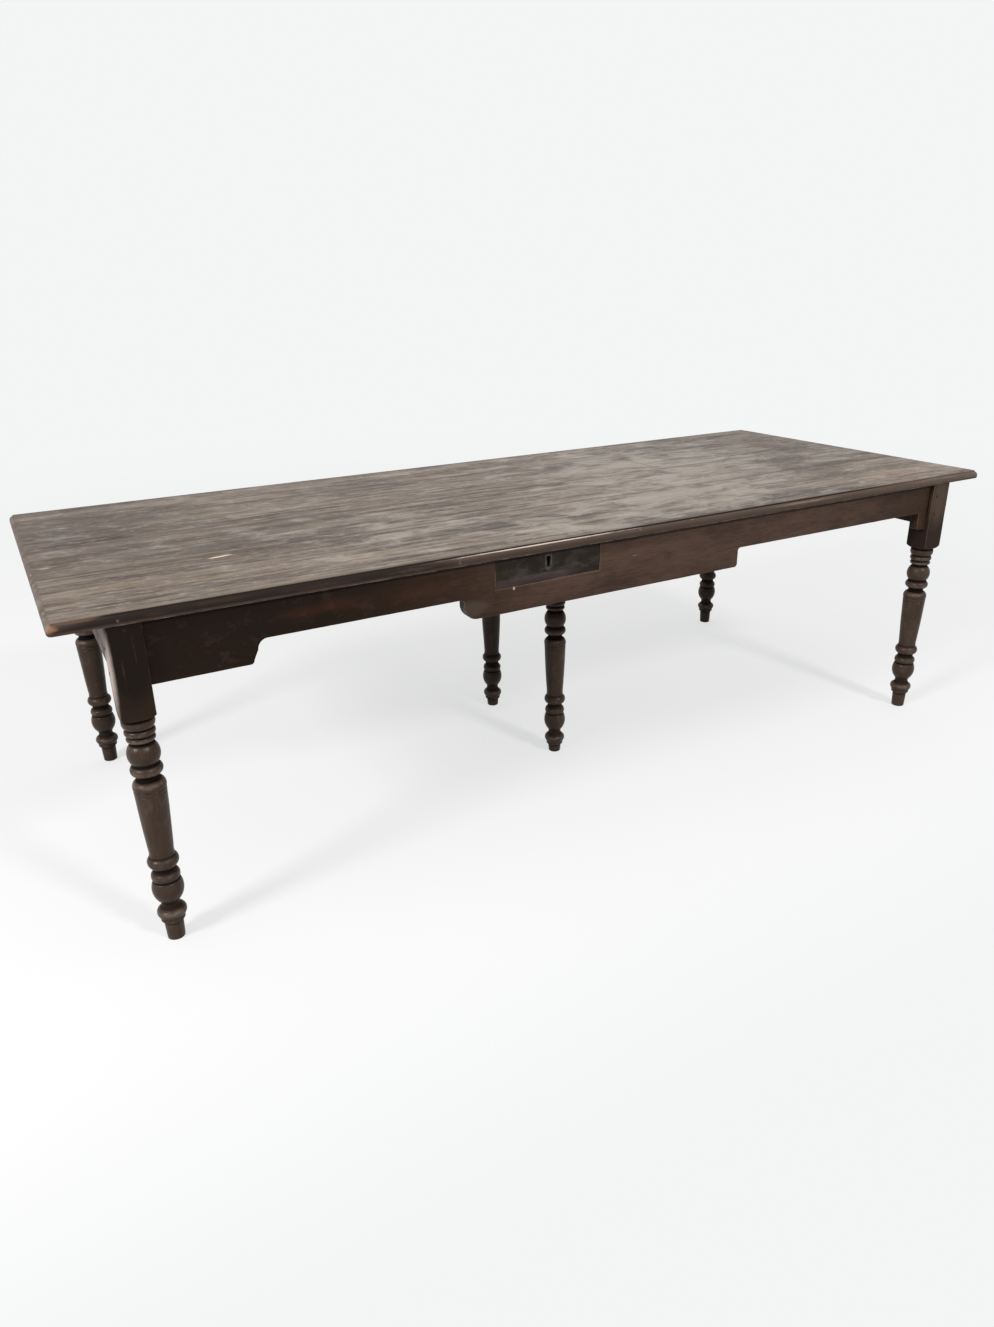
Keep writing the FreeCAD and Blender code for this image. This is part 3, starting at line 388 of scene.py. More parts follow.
@dataclass(frozen=True)
class Metal:
    """A worked metal with its tarnish."""

    name: str
    bright: str
    tarnish: str
    cloud_mm: float
    polished: float
    dull: float
    metallic: float
    relief_mm: float

    @lru_cache(maxsize=None)
    def material(self) -> bpy.types.Material:
        """Make the metal.

        Returns:
            The material.
        """
        shade = Shade(self.name)
        clouds = shade.streaks(Pattern.TARNISH, (self.cloud_mm,) * 3).outputs[0]
        mask = shade.window(clouds, TARNISH_WINDOW)
        inputs = {0: mask, 6: linear(self.bright), 7: linear(self.tarnish)}
        colour = add_node(shade.tree, "Mix", inputs, data_type="RGBA").outputs[2]
        inputs = {"Value": mask, "To Min": self.polished, "To Max": self.dull}
        roughness = add_node(shade.tree, "MapRange", inputs).outputs[0]
        return shade.finish(colour, roughness, clouds, self.relief_mm, Metallic=self.metallic)


# Old elm, planed by hand and scrubbed for years: a dry grey-brown face with fine dark streaks and bleached
# blots, the pale blots on the right half partly a painted sheen.
SCRUBBED_ELM = Wood(
    name="scrubbed_elm", early="#847667", late="#32261d", late_depth=1.0,
    ring_mm=(900, 60), streak_mm=(230, 13), fibre_mm=(70, 5),
    # Open pores are a third of a millimetre wide, so bundles of them are drawn as one dash to show.
    pore_mm=(55, 4), pore="#2b2019", pore_depth=0.55, cloud_mm=(130, 80), cloud="#998d7f", cloud_depth=0.55,
    cloud_window=(0.54, 0.76),
    scuff_mm=(30, 12), scuff="#978b7e", scuff_depth=0.4, worn_and_sheen="#c0aa9c", worn_and_sheen_depth=0.8, handled_and_shade="#44342a",
    grime_and_shade="#150c07", grime_and_shade_depth=0.94,
    rubbed=0.36, dull=0.6, gloss=0.3, relief_mm=0.5,
    zones=(
        # Browner at the left end, where no cloth lay
        Mark((-1063, -20, 770), (760, 800, 80), "#554638", 0.6, 0.4, 0.9),
        Mark((-1213, 150, 770), (240, 460, 60), "#4e3d32", 0.5, 0.5, 0.6),
        # Darker blots on the left half
        Mark((-1090, 300, 770), (250, 150, 30), "#463a30", 0.45, 1.2),
        Mark((-640, 20, 770), (230, 90, 30), "#483c33", 0.4, 1.2),
        Mark((-420, 330, 770), (300, 110, 30), "#4a3f36", 0.4, 1.2),
        # Spill and old damp on the right third
        Mark((947, -150, 770), (150, 270, 30), "#5f4b36", 0.8, 1.1, 0.5),
        Mark((1167, 180, 770), (150, 260, 30), "#5b4c40", 0.7, 1.2),
        Mark((787, 330, 770), (190, 120, 30), "#5e5043", 0.6, 1.3),
        # Rubbed back to warm wood by the seat at the right corner
        Mark((1090, -440, 770), (230, 90, 30), "#8a6f5d", 0.6, 0.9),
    ),
    bleached_and_sheen=(
        # Scrubbed palest in the middle and along the front, with a painted sheen over the middle of the right
        # half
        Mark((547, 120, 770), (700, 640, 80), "", 0.17, 0.6, 0.9),
        Mark((187, -340, 770), (760, 260, 80), "", 0.15, 0.6, 0.9),
        Mark((-560, -215, 770), (330, 230, 80), "", 0.13, 0.6, 0.9),
    ),
    marks=(
        # Red stain across the grain
        Mark((-833, 154, 770), (56, 13, 20), "#4a2f26", 0.6, 0.7, 0.7, -59.0),
        # Dark patch with a pale scratch beside it
        Mark((-898, -125, 770), (110, 50, 20), "#3a2e25", 0.6),
        Mark((-931, -224, 770), (36, 5, 20), "#d8c2a2", 0.9, 0.35, 0.5, 6.0),
        # Ring on the right third
        Mark((543, 160, 770), (8, 180, 20), "#3b2e25", 0.6, 0.5, 0.7),
        # Knot, and a pale smear of wax
        Mark((125, -271, 770), (9, 8, 12), "#1e1611", 0.9, 0.4),
        Mark((-1289, -110, 770), (18, 10, 12), "#a59a8d", 0.5, 0.7),
    ),
    bare_and_highlights=(
        # Bare wood on the rubbed corners
        Mark((-1317, -520, 761), (20, 13, 9), "#7d5c46", 0.75, 1.2),
        Mark((1309, -518, 760), (26, 14, 12), "#5f4a3c", 0.4, 0.9),
        Mark((-1270, -515, 768), (62, 8, 5), "#6f5442", 0.4, 1.2),
        # Brown wood showing through the dirt on the left front edge
        Mark((-1130, -521, 757), (30, 9, 6), "#4a2f22", 0.18, 1.4),
        Mark((-1010, -520, 762), (90, 9, 5), "#4a2f22", 0.18, 1.4),
        Mark((-800, -521, 757), (120, 9, 7), "#4c3225", 0.2, 1.4),
        Mark((-590, -521, 758), (70, 9, 6), "#5a4638", 0.25, 1.4),
        # Bead rubbed pale by sleeves, with a painted highlight along it over the drawer, and worn thin at the
        # right
        Mark((-243, -517, 765.5), (330, 3, 2.5), "#c3b1a6", 0.85, 0.5, 0.6),
        Mark((587, -520, 761), (190, 6, 4), "#7d6a5b", 0.5, 0.7, 0.6),
    ),
)

# Stained elm, rubbed with wax: near black where the stain lies thick, brown where hands have thinned it and
# where a sheen is painted on the front apron.
STAINED_ELM = Wood(
    name="stained_elm", early="#342317", late="#1a100a", late_depth=0.4,
    ring_mm=(700, 60), streak_mm=(120, 22), fibre_mm=(60, 5),
    # Pores are drawn six times their width to show.
    pore_mm=(45, 2.0), pore="#100906", pore_depth=0.45, cloud_mm=(120, 80), cloud="#20150e", cloud_depth=0.35,
    cloud_window=(0.44, 0.66),
    scuff_mm=(30, 20), scuff="#5b473a", scuff_depth=0.1, worn_and_sheen="#6a5545", worn_and_sheen_depth=0.6, handled_and_shade="#1e130c",
    grime_and_shade="#0a0604", grime_and_shade_depth=0.9,
    rubbed=0.38, dull=0.6, gloss=0.09, relief_mm=0.4,
    zones=(
        # Thick stain at the left, thinner from the drawer on, where the lighter brown is also a painted sheen
        Mark((-1013, -509, 690), (600, 120, 200), "#170d07", 0.94, 0.4, 0.7),
        Mark((247, -509, 690), (860, 60, 240), "#4f3d34", 0.85, 0.4, 0.5),
    ),
    marks=(
        # Red stain that shows where the black has worn thin
        Mark((-770, -509, 705), (150, 14, 22), "#41241a", 0.3, 1.3, 0.8),
        Mark((-560, -509, 700), (110, 14, 24), "#41271c", 0.3, 1.3, 0.8),
        # Grey bloom on the end of the skirt, a scratch and a fleck of paint
        Mark((-443, -509, 636), (70, 14, 26), "#4a4139", 0.5),
        Mark((24, -509, 695), (12, 8, 1.4), "#8a7764", 0.5, 0.9),
        Mark((-327, -509, 668), (4, 6, 6), "#b9ab98", 0.7, 0.7),
        # Painted shadow in the shoulder that has opened at the right leg
        Mark((1128, -509, 712), (6, 10, 90), "#0a0705", 0.95, 0.3, 0.5),
    ),
)

# The same elm on the lathe and under boots and brooms: waxed smooth and painted with a sheen on the swells,
# and black with dirt and painted shade in the hollows.
TURNED_ELM = replace(
    STAINED_ELM, name="turned_elm", early="#40332a", late="#281d16", late_depth=0.45,
    cloud="#2b2018", cloud_depth=0.35, scuff="#5f5246", scuff_depth=0.2, pore_depth=0.25,
    worn_and_sheen="#75665a", worn_and_sheen_depth=0.4, handled_and_shade="#22160e", grime_and_shade="#0c0705", grime_and_shade_depth=0.95,
    rubbed=0.26, dull=0.42, gloss=0.12, relief_mm=0.25, zones=(), marks=(),
    bare_and_highlights=(
        # Thick stain on the front left block
        Mark((-1190, -516, 690), (60, 30, 150), "#0f0703", 0.85, 0.4, 0.5),
        # Wood that shows through it in hairlines
        Mark((-1177, -509, 700), (2.5, 14, 62), "#5a483d", 0.4, 1.3),
        Mark((-1203, -509, 652), (3.5, 14, 48), "#4a392f", 0.45, 1.3),
        Mark((-1190, -509, 735), (9, 14, 7), "#4a392f", 0.4, 1.4),
        # Painted highlight of the light from the left on the outer side of the front left block
        Mark((-1225, -484, 660), (9, 70, 130), "#a3938a", 0.9, 0.3, 0.7),
        # Thin stain on the front right block
        Mark((1164, -509, 705), (60, 60, 125), "#4b3c32", 0.75, 0.5, 0.7),
    ),
)

# The same elm on the drawer, blackened by smoke and hands, so it is greyer and duller than the aprons.
SMOKED_ELM = Wood(
    name="smoked_elm", early="#272019", late="#14100c", late_depth=0.6,
    ring_mm=(700, 40), streak_mm=(130, 16), fibre_mm=(80, 5),
    # Pores are drawn six times their width to show.
    pore_mm=(45, 2.0), pore="#0b0908", pore_depth=0.4, cloud_mm=(60, 32), cloud="#34322a", cloud_depth=0.6,
    cloud_window=(0.48, 0.62),
    scuff_mm=(28, 16), scuff="#3c352e", scuff_depth=0.3, worn_and_sheen="#6b5d50", worn_and_sheen_depth=0.6, handled_and_shade="#1a1513",
    grime_and_shade="#070605", grime_and_shade_depth=0.85,
    rubbed=0.42, dull=0.62, gloss=0.1, relief_mm=0.35,
    marks=(
        # Bloom along the foot
        Mark((-283, -508, 683), (170, 10, 13), "#3d3133", 0.55, 0.5, 0.5),
        # Lower arris rubbed by the runners, and the left end by thumbs
        Mark((-150, -508, 673), (120, 8, 2.2), "#7d6a5a", 0.6, 0.7, 0.6),
        Mark((-377, -508, 700), (4, 8, 34), "#5d4c3e", 0.5, 0.7, 0.6),
    ),
)

# Deal inside the carcass, sawn and never stained: straw brown darkened by dust, with strong resin lines.
BARE_DEAL = Wood(
    name="bare_deal", early="#9a7d5c", late="#5f452e", late_depth=0.8,
    ring_mm=(1400, 9), streak_mm=(260, 14), fibre_mm=(160, 4),
    # Resin ducts are drawn five times their width to show.
    pore_mm=(60, 1.8), pore="#4c3421", pore_depth=0.4, cloud_mm=(160, 120), cloud="#6d553f", cloud_depth=0.6,
    cloud_window=(0.48, 0.62),
    scuff_mm=(40, 20), scuff="#a98d6b", scuff_depth=0.25, worn_and_sheen="#b19673", worn_and_sheen_depth=0.4, handled_and_shade="#6a4f36",
    grime_and_shade="#33251a", grime_and_shade_depth=0.7,
    rubbed=0.6, dull=0.8, gloss=0.3, relief_mm=0.4,
)

# Wrought iron with a thin brown rust, hammered flat: dark, with a few rubbed glints.
WROUGHT_IRON = Metal("wrought_iron", "#4c4743", "#2b211b", 9, 0.38, 0.72, 0.85, 0.25)

# Tinned iron of the escutcheon, cut from sheet and dulled by hands: a soft grey line round the keyhole.
TINNED_IRON = Metal("tinned_iron", "#47433f", "#2b2826", 5, 0.45, 0.7, 0.6, 0.08)


def ripple(points: np.ndarray, lengths_mm: Sequence[float], seed: float) -> np.ndarray:
    """Smooth noise from about -1 to 1.

    Args:
        points: Places in metres, one a row.
        lengths_mm: Size of a ripple on X, Y and Z.
        seed: Moves the ripples.

    Returns:
        One level for each place.
    """
    scaled = points / (np.array(lengths_mm) * MM) + np.array(SEED_WAY) * seed
    return np.array([noise.noise(Vector(row)) for row in scaled])


def graded(at: np.ndarray, steps: Sequence[Span] | np.ndarray) -> np.ndarray:
    """Levels at places on a line that runs through pairs of place and level."""
    return np.interp(at, *zip(*steps))


def both_at(a: Vector, b: Vector, axis: int, at: float) -> bool:
    """Whether both ends of an edge lie at one place on an axis."""
    return abs(a[axis] - at) < NEAR and abs(b[axis] - at) < NEAR


def add_object(name: str, data: bpy.types.ID) -> bpy.types.Object:
    """Put a new object into the scene.

    Args:
        name: Name of the object.
        data: Mesh, light or camera that it shows.

    Returns:
        The object.
    """
    made = bpy.data.objects.new(name, data)
    bpy.context.scene.collection.objects.link(made)
    return made


def close_shell(shell: bmesh.types.BMesh, mesh: bpy.types.Mesh, sharp_deg: float) -> bpy.types.Mesh:
    """Write an edited shell to its mesh, and shade that smooth but for its sharp edges.

    Args:
        shell: Shell that is done with.
        mesh: Mesh that takes it.
        sharp_deg: Edges that turn more than this stay crisp.

    Returns:
        The mesh.
    """
    shell.to_mesh(mesh)
    shell.free()
    mesh.shade_smooth()
    mesh.set_sharp_from_angle(angle=math.radians(sharp_deg))
    return mesh


class Draft:
    """Points, faces, wear and grime of a mesh while it is laid out; wear carries painted highlights and grime
    carries painted shade.
    """

    def __init__(self) -> None:
        """Start with nothing laid out."""
        self.points: list[np.ndarray] = []
        self.wear_and_sheen: list[np.ndarray] = []
        self.grime_and_shade: list[np.ndarray] = []
        self.faces: list[list[int]] = []
        self.count = 0

    def add(self, points: np.ndarray, wear_and_sheen: np.ndarray | float, grime_and_shade: np.ndarray | float) -> np.ndarray:
        """Add points.

        Args:
            points: Places in metres, one a row.
            wear_and_sheen: How far each is rubbed, and how much painted highlight it has, from 0 to 1.
            grime_and_shade: How dirty each is, and how much painted shade it has, from 0 to 1.

        Returns:
            The number of each point.
        """
        numbers = np.arange(self.count, self.count + len(points))
        self.points.append(points)
        self.wear_and_sheen.append(np.broadcast_to(wear_and_sheen, len(points)))
        self.grime_and_shade.append(np.broadcast_to(grime_and_shade, len(points)))
        self.count += len(points)
        return numbers

    def skin(self, rows: Sequence[np.ndarray], closed: bool) -> None:
        """Join each row of points to the next by faces of four corners.

        Args:
            rows: Numbers of the points, row by row.
            closed: Whether the rows run round.
        """
        for low, high in zip(rows[:-1], rows[1:]):
            if closed:
                low, high = np.append(low, low[0]), np.append(high, high[0])
            self.faces += np.stack((low[:-1], low[1:], high[1:], high[:-1]), axis=1).tolist()

    def mesh(self, name: str, sharp_deg: float = 40.0) -> bpy.types.Mesh:
        """Close the draft.

        Args:
            name: Name of the mesh.
            sharp_deg: Edges that turn more than this stay crisp.

        Returns:
            The mesh, with its wear and grime, which carry painted highlights and shade, as attributes.
        """
        mesh = bpy.data.meshes.new(name)
        mesh.from_pydata(np.concatenate(self.points).tolist(), [], self.faces)
        for word, levels in (("wear_and_sheen", self.wear_and_sheen), ("grime_and_shade", self.grime_and_shade)):
            layer = mesh.attributes.new(word, "FLOAT", "POINT")
            layer.data.foreach_set("value", np.concatenate(levels).astype(np.float32))
        shell = bmesh.new()
        shell.from_mesh(mesh)
        bmesh.ops.recalc_face_normals(shell, faces=shell.faces)
        return close_shell(shell, mesh, sharp_deg)


def rubbed_copy(
    node: str, arris_mm: float, chosen: EdgeTest, station_mm: float = 20.0, dent_mm: float = 0.35
) -> bpy.types.Mesh:
    """Copy a frame node's mesh with the chosen arrises rubbed round and dented.

    Args:
        node: Frame node to copy.
        arris_mm: Width that is rubbed off.
        chosen: Tells from its ends whether an edge is rubbed.
        station_mm: Longest straight stretch between dents.
        dent_mm: Depth of the dents.

    Returns:
        The mesh, with the rubbed strips marked as worn.
    """
    def crisp(edge: bmesh.types.BMEdge) -> bool:
        """Whether an edge is rubbed."""
        return edge.calc_face_angle(0.0) > math.radians(CRISP_DEG) and chosen(*(v.co for v in edge.verts))

    shell = bmesh.new()
    shell.from_mesh(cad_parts[node].data)
    layer = shell.verts.layers.float.new("wear_and_sheen")
    bmesh.ops.remove_doubles(shell, verts=shell.verts, dist=HAIR)
    bmesh.ops.dissolve_limit(shell, angle_limit=math.radians(FLAT_DEG), verts=shell.verts, edges=shell.edges)
    for edge in list(shell.edges):
        cuts = int(edge.calc_length() / (station_mm * MM))
        if cuts and crisp(edge):
            bmesh.ops.subdivide_edges(shell, edges=[edge], cuts=cuts)
    made = bmesh.ops.bevel(
        shell, geom=[edge for edge in shell.edges if crisp(edge)], offset=arris_mm * MM, offset_type="OFFSET",
        segments=RUBBED_SEGMENTS, profile=0.5, affect="EDGES", clamp_overlap=False
    )
    strips = set(made["faces"])
    for vertex in made["verts"]:
        vertex[layer] = float(all(face in strips for face in vertex.link_faces))
        push = noise.noise_vector(vertex.co / (DENT_WIDTH_MM * MM))
        vertex.co += push * dent_mm * MM * (DENT_BESIDE + (1 - DENT_BESIDE) * vertex[layer])
    return close_shell(shell, bpy.data.meshes.new(node + "_rubbed"), SHARP_DEG)


@dataclass
class SubAssembly:
    """Pieces that are made and finished together."""

    pieces: dict[str, bpy.types.Object] = field(default_factory=dict, init=False)
    shortest_mm: float = 5.0

    def long_edge(self, a: Vector, b: Vector) -> bool:
        """Whether an edge is longer than those round a hole for a peg or nail."""
        return (a - b).length > self.shortest_mm * MM

    def stand_in(self, node: str, mesh: bpy.types.Mesh, body: Body, slot: Slot) -> None:
        """Show a mesh in place of a frame node.

        Args:
            node: Frame node that it stands for.
            mesh: Mesh at its place in the table.
            body: Body that it moves with.
            slot: Material slot of the record; not used.
        """
        piece = add_object(node + "_worn", mesh)
        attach(piece, body.value)
        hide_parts(node)
        self.pieces[node] = piece

    def keep(self, node: str, arris_mm: float = 0.0) -> None:
        """Show a frame node as it is, with its arrises eased by a modifier if asked.

        Args:
            node: Frame node to show.
            arris_mm: Width of the eased arris.
        """
        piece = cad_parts[node]
        if arris_mm:
            piece.modifiers.new("joined", "WELD").merge_threshold = HAIR
            bevel = piece.modifiers.new("eased", "BEVEL")
            bevel.width = arris_mm * MM
            bevel.segments = EASED_SEGMENTS
            bevel.limit_method = "ANGLE"
            bevel.angle_limit = math.radians(EASED_DEG)
        self.pieces[node] = piece

    def paint(self, material: bpy.types.Material, *nodes: str) -> None:
        """Give pieces their only material.

        Args:
            material: Material that they get.
            nodes: Frame nodes that the pieces show or stand for.
        """
        for node in nodes:
            mesh = self.pieces[node].data
            mesh.materials.clear()
            mesh.materials.append(material)

    def report(self) -> None:
        """Log each piece that the class has made."""
        for node, piece in self.pieces.items():
            LOG.info("%s: %s, %d points", type(self).__name__, node, len(piece.data.vertices))


@dataclass
class PlankTop(SubAssembly):
    """Four boards joined edge to edge, with a thumb moulding round the outside, in millimetres."""

    boards: tuple[str, ...] = ("top_board_1", "top_board_2", "top_board_3", "top_board_4")
    pegs: str = "top_pegs"
    figure_shift: float = 3.1
    station: float = 14.0
    thumb_width: float = 9.0
    thumb_step: float = 3.0
    thumb_drop: float = 12.0
    thumb_swell: float = 2.4
    thumb_lines: int = 7
    # Hollow behind the thumb: distance in from it, and drop as a share of the step
    quirk: tuple[Span, ...] = ((0.15, 0.9), (0.35, 0.3), (0.8, 0.06))
    corner: float = 12.0
    # Lower arris, with its dents
    arris: float = 4.5
    arris_lines: int = 4
    arris_dent: float = 0.4
    arris_dent_width: float = 26.0
    arris_seed: float = 4.0
    arris_wear: float = 0.75
    arris_grime: float = 0.75
    # Seams between the boards, which have opened into splits at the left end
    seam_arris: float = 0.4
    seam_gap: float = 0.16
    seam_grime: tuple[Span, ...] = ((0, 0.9), (0.4, 0.4), (2.5, 0.0))
    split_open: float = 0.8
    split_reach: float = 70.0
    split_width: float = 20.0
    # Mortise that the lock bolt enters
    mortise_ease: float = 1.6
    mortise_depth: float = 8.0
    mortise_grime: Span = (0.8, 1.0)
    # How much more a point's distance from a side counts than that along it, where a cut meets the rim
    side_weight: float = 10.0
    # Planing waves over the face, and chips out of the moulding
    sunk: float = 0.1
    wave: float = 0.35
    wave_size: Place = (420, 70, 70)
    wave_seed: float = 1.0
    bite: float = 0.9
    chip_size: Place = (24, 24, 24)
    chip_seed: float = 9.0
    chip_floor: float = 0.25
    chip_wear: float = 1.4
    # Patches in which the bead is rubbed
    patch_size: Place = (110, 110, 110)
    patch_seed: float = 5.0
    patch_mean: float = 0.6
    patch_floor: float = 0.3
    # How far the bead is rubbed, and painted with its highlight, at places along the table, and at its ends
    rubbed_along: tuple[Span, ...] = (
        (-1320, 0.5), (-1100, 0.15), (-640, 0.25), (-460, 0.8), (40, 0.85), (700, 0.9), (1320, 0.8)
    )
    end_rubbed: float = 0.85
    # How far dirt and painted shade lie in the moulding at places along the table, and at its ends
    dirt_and_shade_along: tuple[Span, ...] = ((-1320, 0.8), (-1200, 1.0), (800, 1.0), (1100, 0.55), (1320, 0.4))
    end_dirt_and_shade: float = 0.4
    unrubbed_dirt_and_shade: float = 0.6
    # Wear and grime at distances in from the edge: the peak of wear near the bead's top is a painted
    # highlight, the full grime in the quirk is a painted shadow, and the grime over the moulding is dirt and
    # painted shade
    wear_and_sheen_in: tuple[Span, ...] = ((0, 0.1), (4.5, 0.2), (6.2, 0.45), (7.6, 1.0), (8.2, 0.0))
    grime_and_shade_in: tuple[Span, ...] = (
        (0, 0.7), (5, 0.58), (7.4, 0.5), (8.2, 1.0), (9.6, 1.0), (12, 0.4), (30, 0.15), (55, 0.0)
    )

    def moulding(self) -> np.ndarray:
        """Section of the moulded edge.

        Returns:
            Distance in from the edge and drop below the surface, one pair a row.
        """
        share = np.linspace(0.0, 1.0, self.thumb_lines)
        chord = math.hypot(self.thumb_width, self.thumb_drop)
        bulge = self.thumb_swell * 4 * share * (1 - share) / chord
        inward = self.thumb_width * share - self.thumb_drop * bulge
        drop = self.thumb_step + self.thumb_drop * (1 - share) - self.thumb_width * bulge
        quirk = [(past, share_left * self.thumb_step) for past, share_left in self.quirk]
        quirk.append((quirk[-1][0] + self.thumb_step, 0.0))
        return np.concatenate((np.stack((inward, drop), axis=1), np.array(quirk) + (self.thumb_width, 0.0)))

    def lines(self, low: float, high: float, low_section: np.ndarray, high_section: np.ndarray) -> np.ndarray:
        """Places of the grid lines between two edges.

        Args:
            low: Lower edge.
            high: Higher edge.
            low_section: Section at the lower edge.
            high_section: Section at the higher edge.

        Returns:
            The places, from the lower edge to the higher.
        """
        start = low + low_section[:, 0]
        end = high - high_section[::-1, 0]
        count = int((end[0] - start[-1]) / self.station) + 2
        return np.concatenate((start, np.linspace(start[-1], end[0], count)[1:-1], end))

    def board_mesh(self, index: int) -> bpy.types.Mesh:
        """Lay out one board.

        Args:
            index: Number of the board from the front, from 0.

        Returns:
            The board's mesh.
        """
        low, high = (np.array(corner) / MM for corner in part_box(self.boards[index]))
        first, last = index == 0, index == len(self.boards) - 1
        if not first:
            low[1] += self.seam_gap / 2
        if not last:
            high[1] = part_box(self.boards[index + 1])[0][1] / MM - self.seam_gap / 2
        thumb = self.moulding()
        seam = np.array([(0.0, self.seam_arris), (self.seam_arris, 0.0)])
        x_lines = self.lines(low[0], high[0], thumb, thumb)
        y_lines = self.lines(low[1], high[1], thumb if first else seam, thumb if last else seam)
        x, y = (grid.ravel() for grid in np.meshgrid(x_lines, y_lines))
        # Distances in from the ends, from a moulded side and from a seam, where the board has them
        y_low, y_high, none = y - low[1], high[1] - y, np.full_like(y, np.inf)
        x_in = np.minimum(x - low[0], high[0] - x)
        y_in = np.minimum(y_low if first else none, y_high if last else none)
        seam_in = np.minimum(none if first else y_low, none if last else y_high)
        inward = np.minimum(x_in, y_in)
        # Round the corners of the top, and open the splits
        across, along = (np.clip(1 - gap / self.corner, 0, 1) for gap in (x_in, y_in))
        turn = np.hypot(across, along)
        round_in = (across > 0) & (along > 0)
        shrink = np.divide(np.maximum(across, along), turn, out=np.ones_like(turn), where=round_in)
        x_out, y_out = np.where(x < 0, -across, across), np.where(y < 0, -along, along)
        x -= x_out * (1 - shrink) * self.corner
        y -= y_out * (1 - shrink) * self.corner
        gape = self.split_open * np.exp((low[0] - x) / self.split_reach)
        gape *= np.clip(1 - seam_in / self.split_width, 0, 1)
        y += np.where(y_high < y_low, -gape, gape)
        flat = np.stack((x, y, np.full_like(x, high[2])), axis=1) * MM
        sunk, wear_and_sheen, grime_and_shade = self.weather(flat, inward, x_in < y_in, index)
        drop = sunk + graded(inward, thumb) + graded(seam_in, seam)
        grime_and_shade = np.maximum(grime_and_shade, graded(seam_in, self.seam_grime))
        draft = Draft()
        numbers = draft.add(np.stack((x, y, high[2] - drop), axis=1) * MM, wear_and_sheen, grime_and_shade)
        rows = numbers.reshape(len(y_lines), len(x_lines))
        draft.skin(rows, False)
        rim = np.concatenate((rows[0], rows[1:, -1], rows[-1, -2::-1], rows[-2:0:-1, 0]))
        way = np.stack((x_out, y_out), axis=1)[rim]
        length = np.linalg.norm(way, axis=1, keepdims=True)
        way = np.divide(way, length, out=np.zeros_like(way), where=length > 0)
        self.underside(draft, rim, way, low[2], index)
        return draft.mesh(self.boards[index] + "_worn")

    def weather(
        self, flat: np.ndarray, inward: np.ndarray, at_end: np.ndarray, index: int
    ) -> tuple[np.ndarray, np.ndarray, np.ndarray]:
        """Wear and soil the upper face of a board, and paint the highlight and shade of its moulding.

        Args:
            flat: Points of the face, in metres.
            inward: How far each lies in from the moulded edge.
            at_end: Whether that edge is an end of the top.
            index: Number of the board.

        Returns:
            How far each point has sunk, its wear with the painted highlight on the bead, and its grime with
            the painted shade on the moulding.
        """
        x = flat[:, 0] / MM
        moulded = inward < self.thumb_width
        wave = ripple(flat, self.wave_size, index + self.wave_seed)
        chips = ripple(flat, self.chip_size, index + self.chip_seed) - self.chip_floor
        chips = np.clip(chips, 0, 1) * moulded
        sunk = self.sunk + self.wave * (1 + wave) / 2 + self.bite * chips
        patches = self.patch_mean + ripple(flat, self.patch_size, index + self.patch_seed)
        rubbed = np.where(at_end, self.end_rubbed, graded(x, self.rubbed_along))
        dirt_and_shade = np.where(at_end, self.end_dirt_and_shade, graded(x, self.dirt_and_shade_along))
        wear_and_sheen = graded(inward, self.wear_and_sheen_in) * np.clip(patches, self.patch_floor, 1) * rubbed
        grime_and_shade = dirt_and_shade * graded(inward, self.grime_and_shade_in) + self.unrubbed_dirt_and_shade * (1 - rubbed) * moulded
        return sunk, wear_and_sheen + self.chip_wear * chips, np.minimum(grime_and_shade, 1.0)

    def underside(self, draft: Draft, rim: np.ndarray, way: np.ndarray, bottom: float, index: int) -> None:
        """Carry a board's rim down to its underside, and close it round the bolt's mortise.

        Args:
            draft: Board that is laid out.
            rim: Numbers of the points round the upper face.
            way: Direction out of the board at each of them, empty at a seam.
            bottom: Height of the underside.
            index: Number of the board.
        """
        upper = np.concatenate(draft.points)[rim] / MM
        dent_size = (self.arris_dent_width,) * 3
        rows = [rim]
        for turn in np.linspace(0, math.pi / 2, self.arris_lines):
            row = upper.copy()
            row[:, :2] -= way * self.arris * (1 - math.cos(turn))
            row[:, 2] = bottom + self.arris * (1 - math.sin(turn))
            dents = np.clip(ripple(row * MM, dent_size, index + self.arris_seed), 0, 1)
            row[:, :2] -= way * self.arris_dent * dents[:, None]
            rows.append(draft.add(row * MM, self.arris_wear * math.sin(2 * turn), self.arris_grime))
        draft.skin(rows, True)
        if index:
            draft.faces.append(rows[-1].tolist())
        else:
            self.mortise(draft, rows[-1])

    def mortise(self, draft: Draft, rim: np.ndarray) -> None:
        """Close the front board's underside round the mortise that the lock bolt enters.

        Args:
            draft: Board that is laid out.
            rim: Numbers of the points round the underside.
        """
        points = np.concatenate(draft.points)[rim]
        low, high = (np.array(corner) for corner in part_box("lock_bolt"))
        ease = np.array((self.mortise_ease, self.mortise_ease / 2)) * MM
        (left, front), (right, back) = low[:2] - ease, high[:2] + ease
        corners = np.array([(left, front), (left, back), (right, back), (right, front)])
        bottom = points[0][2]
        mouth, floor = (
            draft.add(np.column_stack((corners, np.full(len(corners), height))), 0.0, grime_and_shade)
            for height, grime_and_shade in zip((bottom, bottom + self.mortise_depth * MM), self.mortise_grime)
        )
        draft.skin((mouth, floor), True)
        draft.faces.append(floor.tolist())
        # A face can't have a hole, so two faces meet in cuts from the mortise to the rim.
        x, y = points[:, 0], points[:, 1]
        near, far = (
            int(np.argmin(np.abs(x - left) + self.side_weight * np.abs(y - edge)))
            for edge in (y.min(), y.max())
        )
        right_side = np.concatenate((rim[near:far + 1], mouth[[1, 2, 3, 0]]))
        left_side = np.concatenate((rim[far:], rim[:near + 1], mouth[:2]))
        draft.faces += [right_side.tolist(), left_side.tolist()]

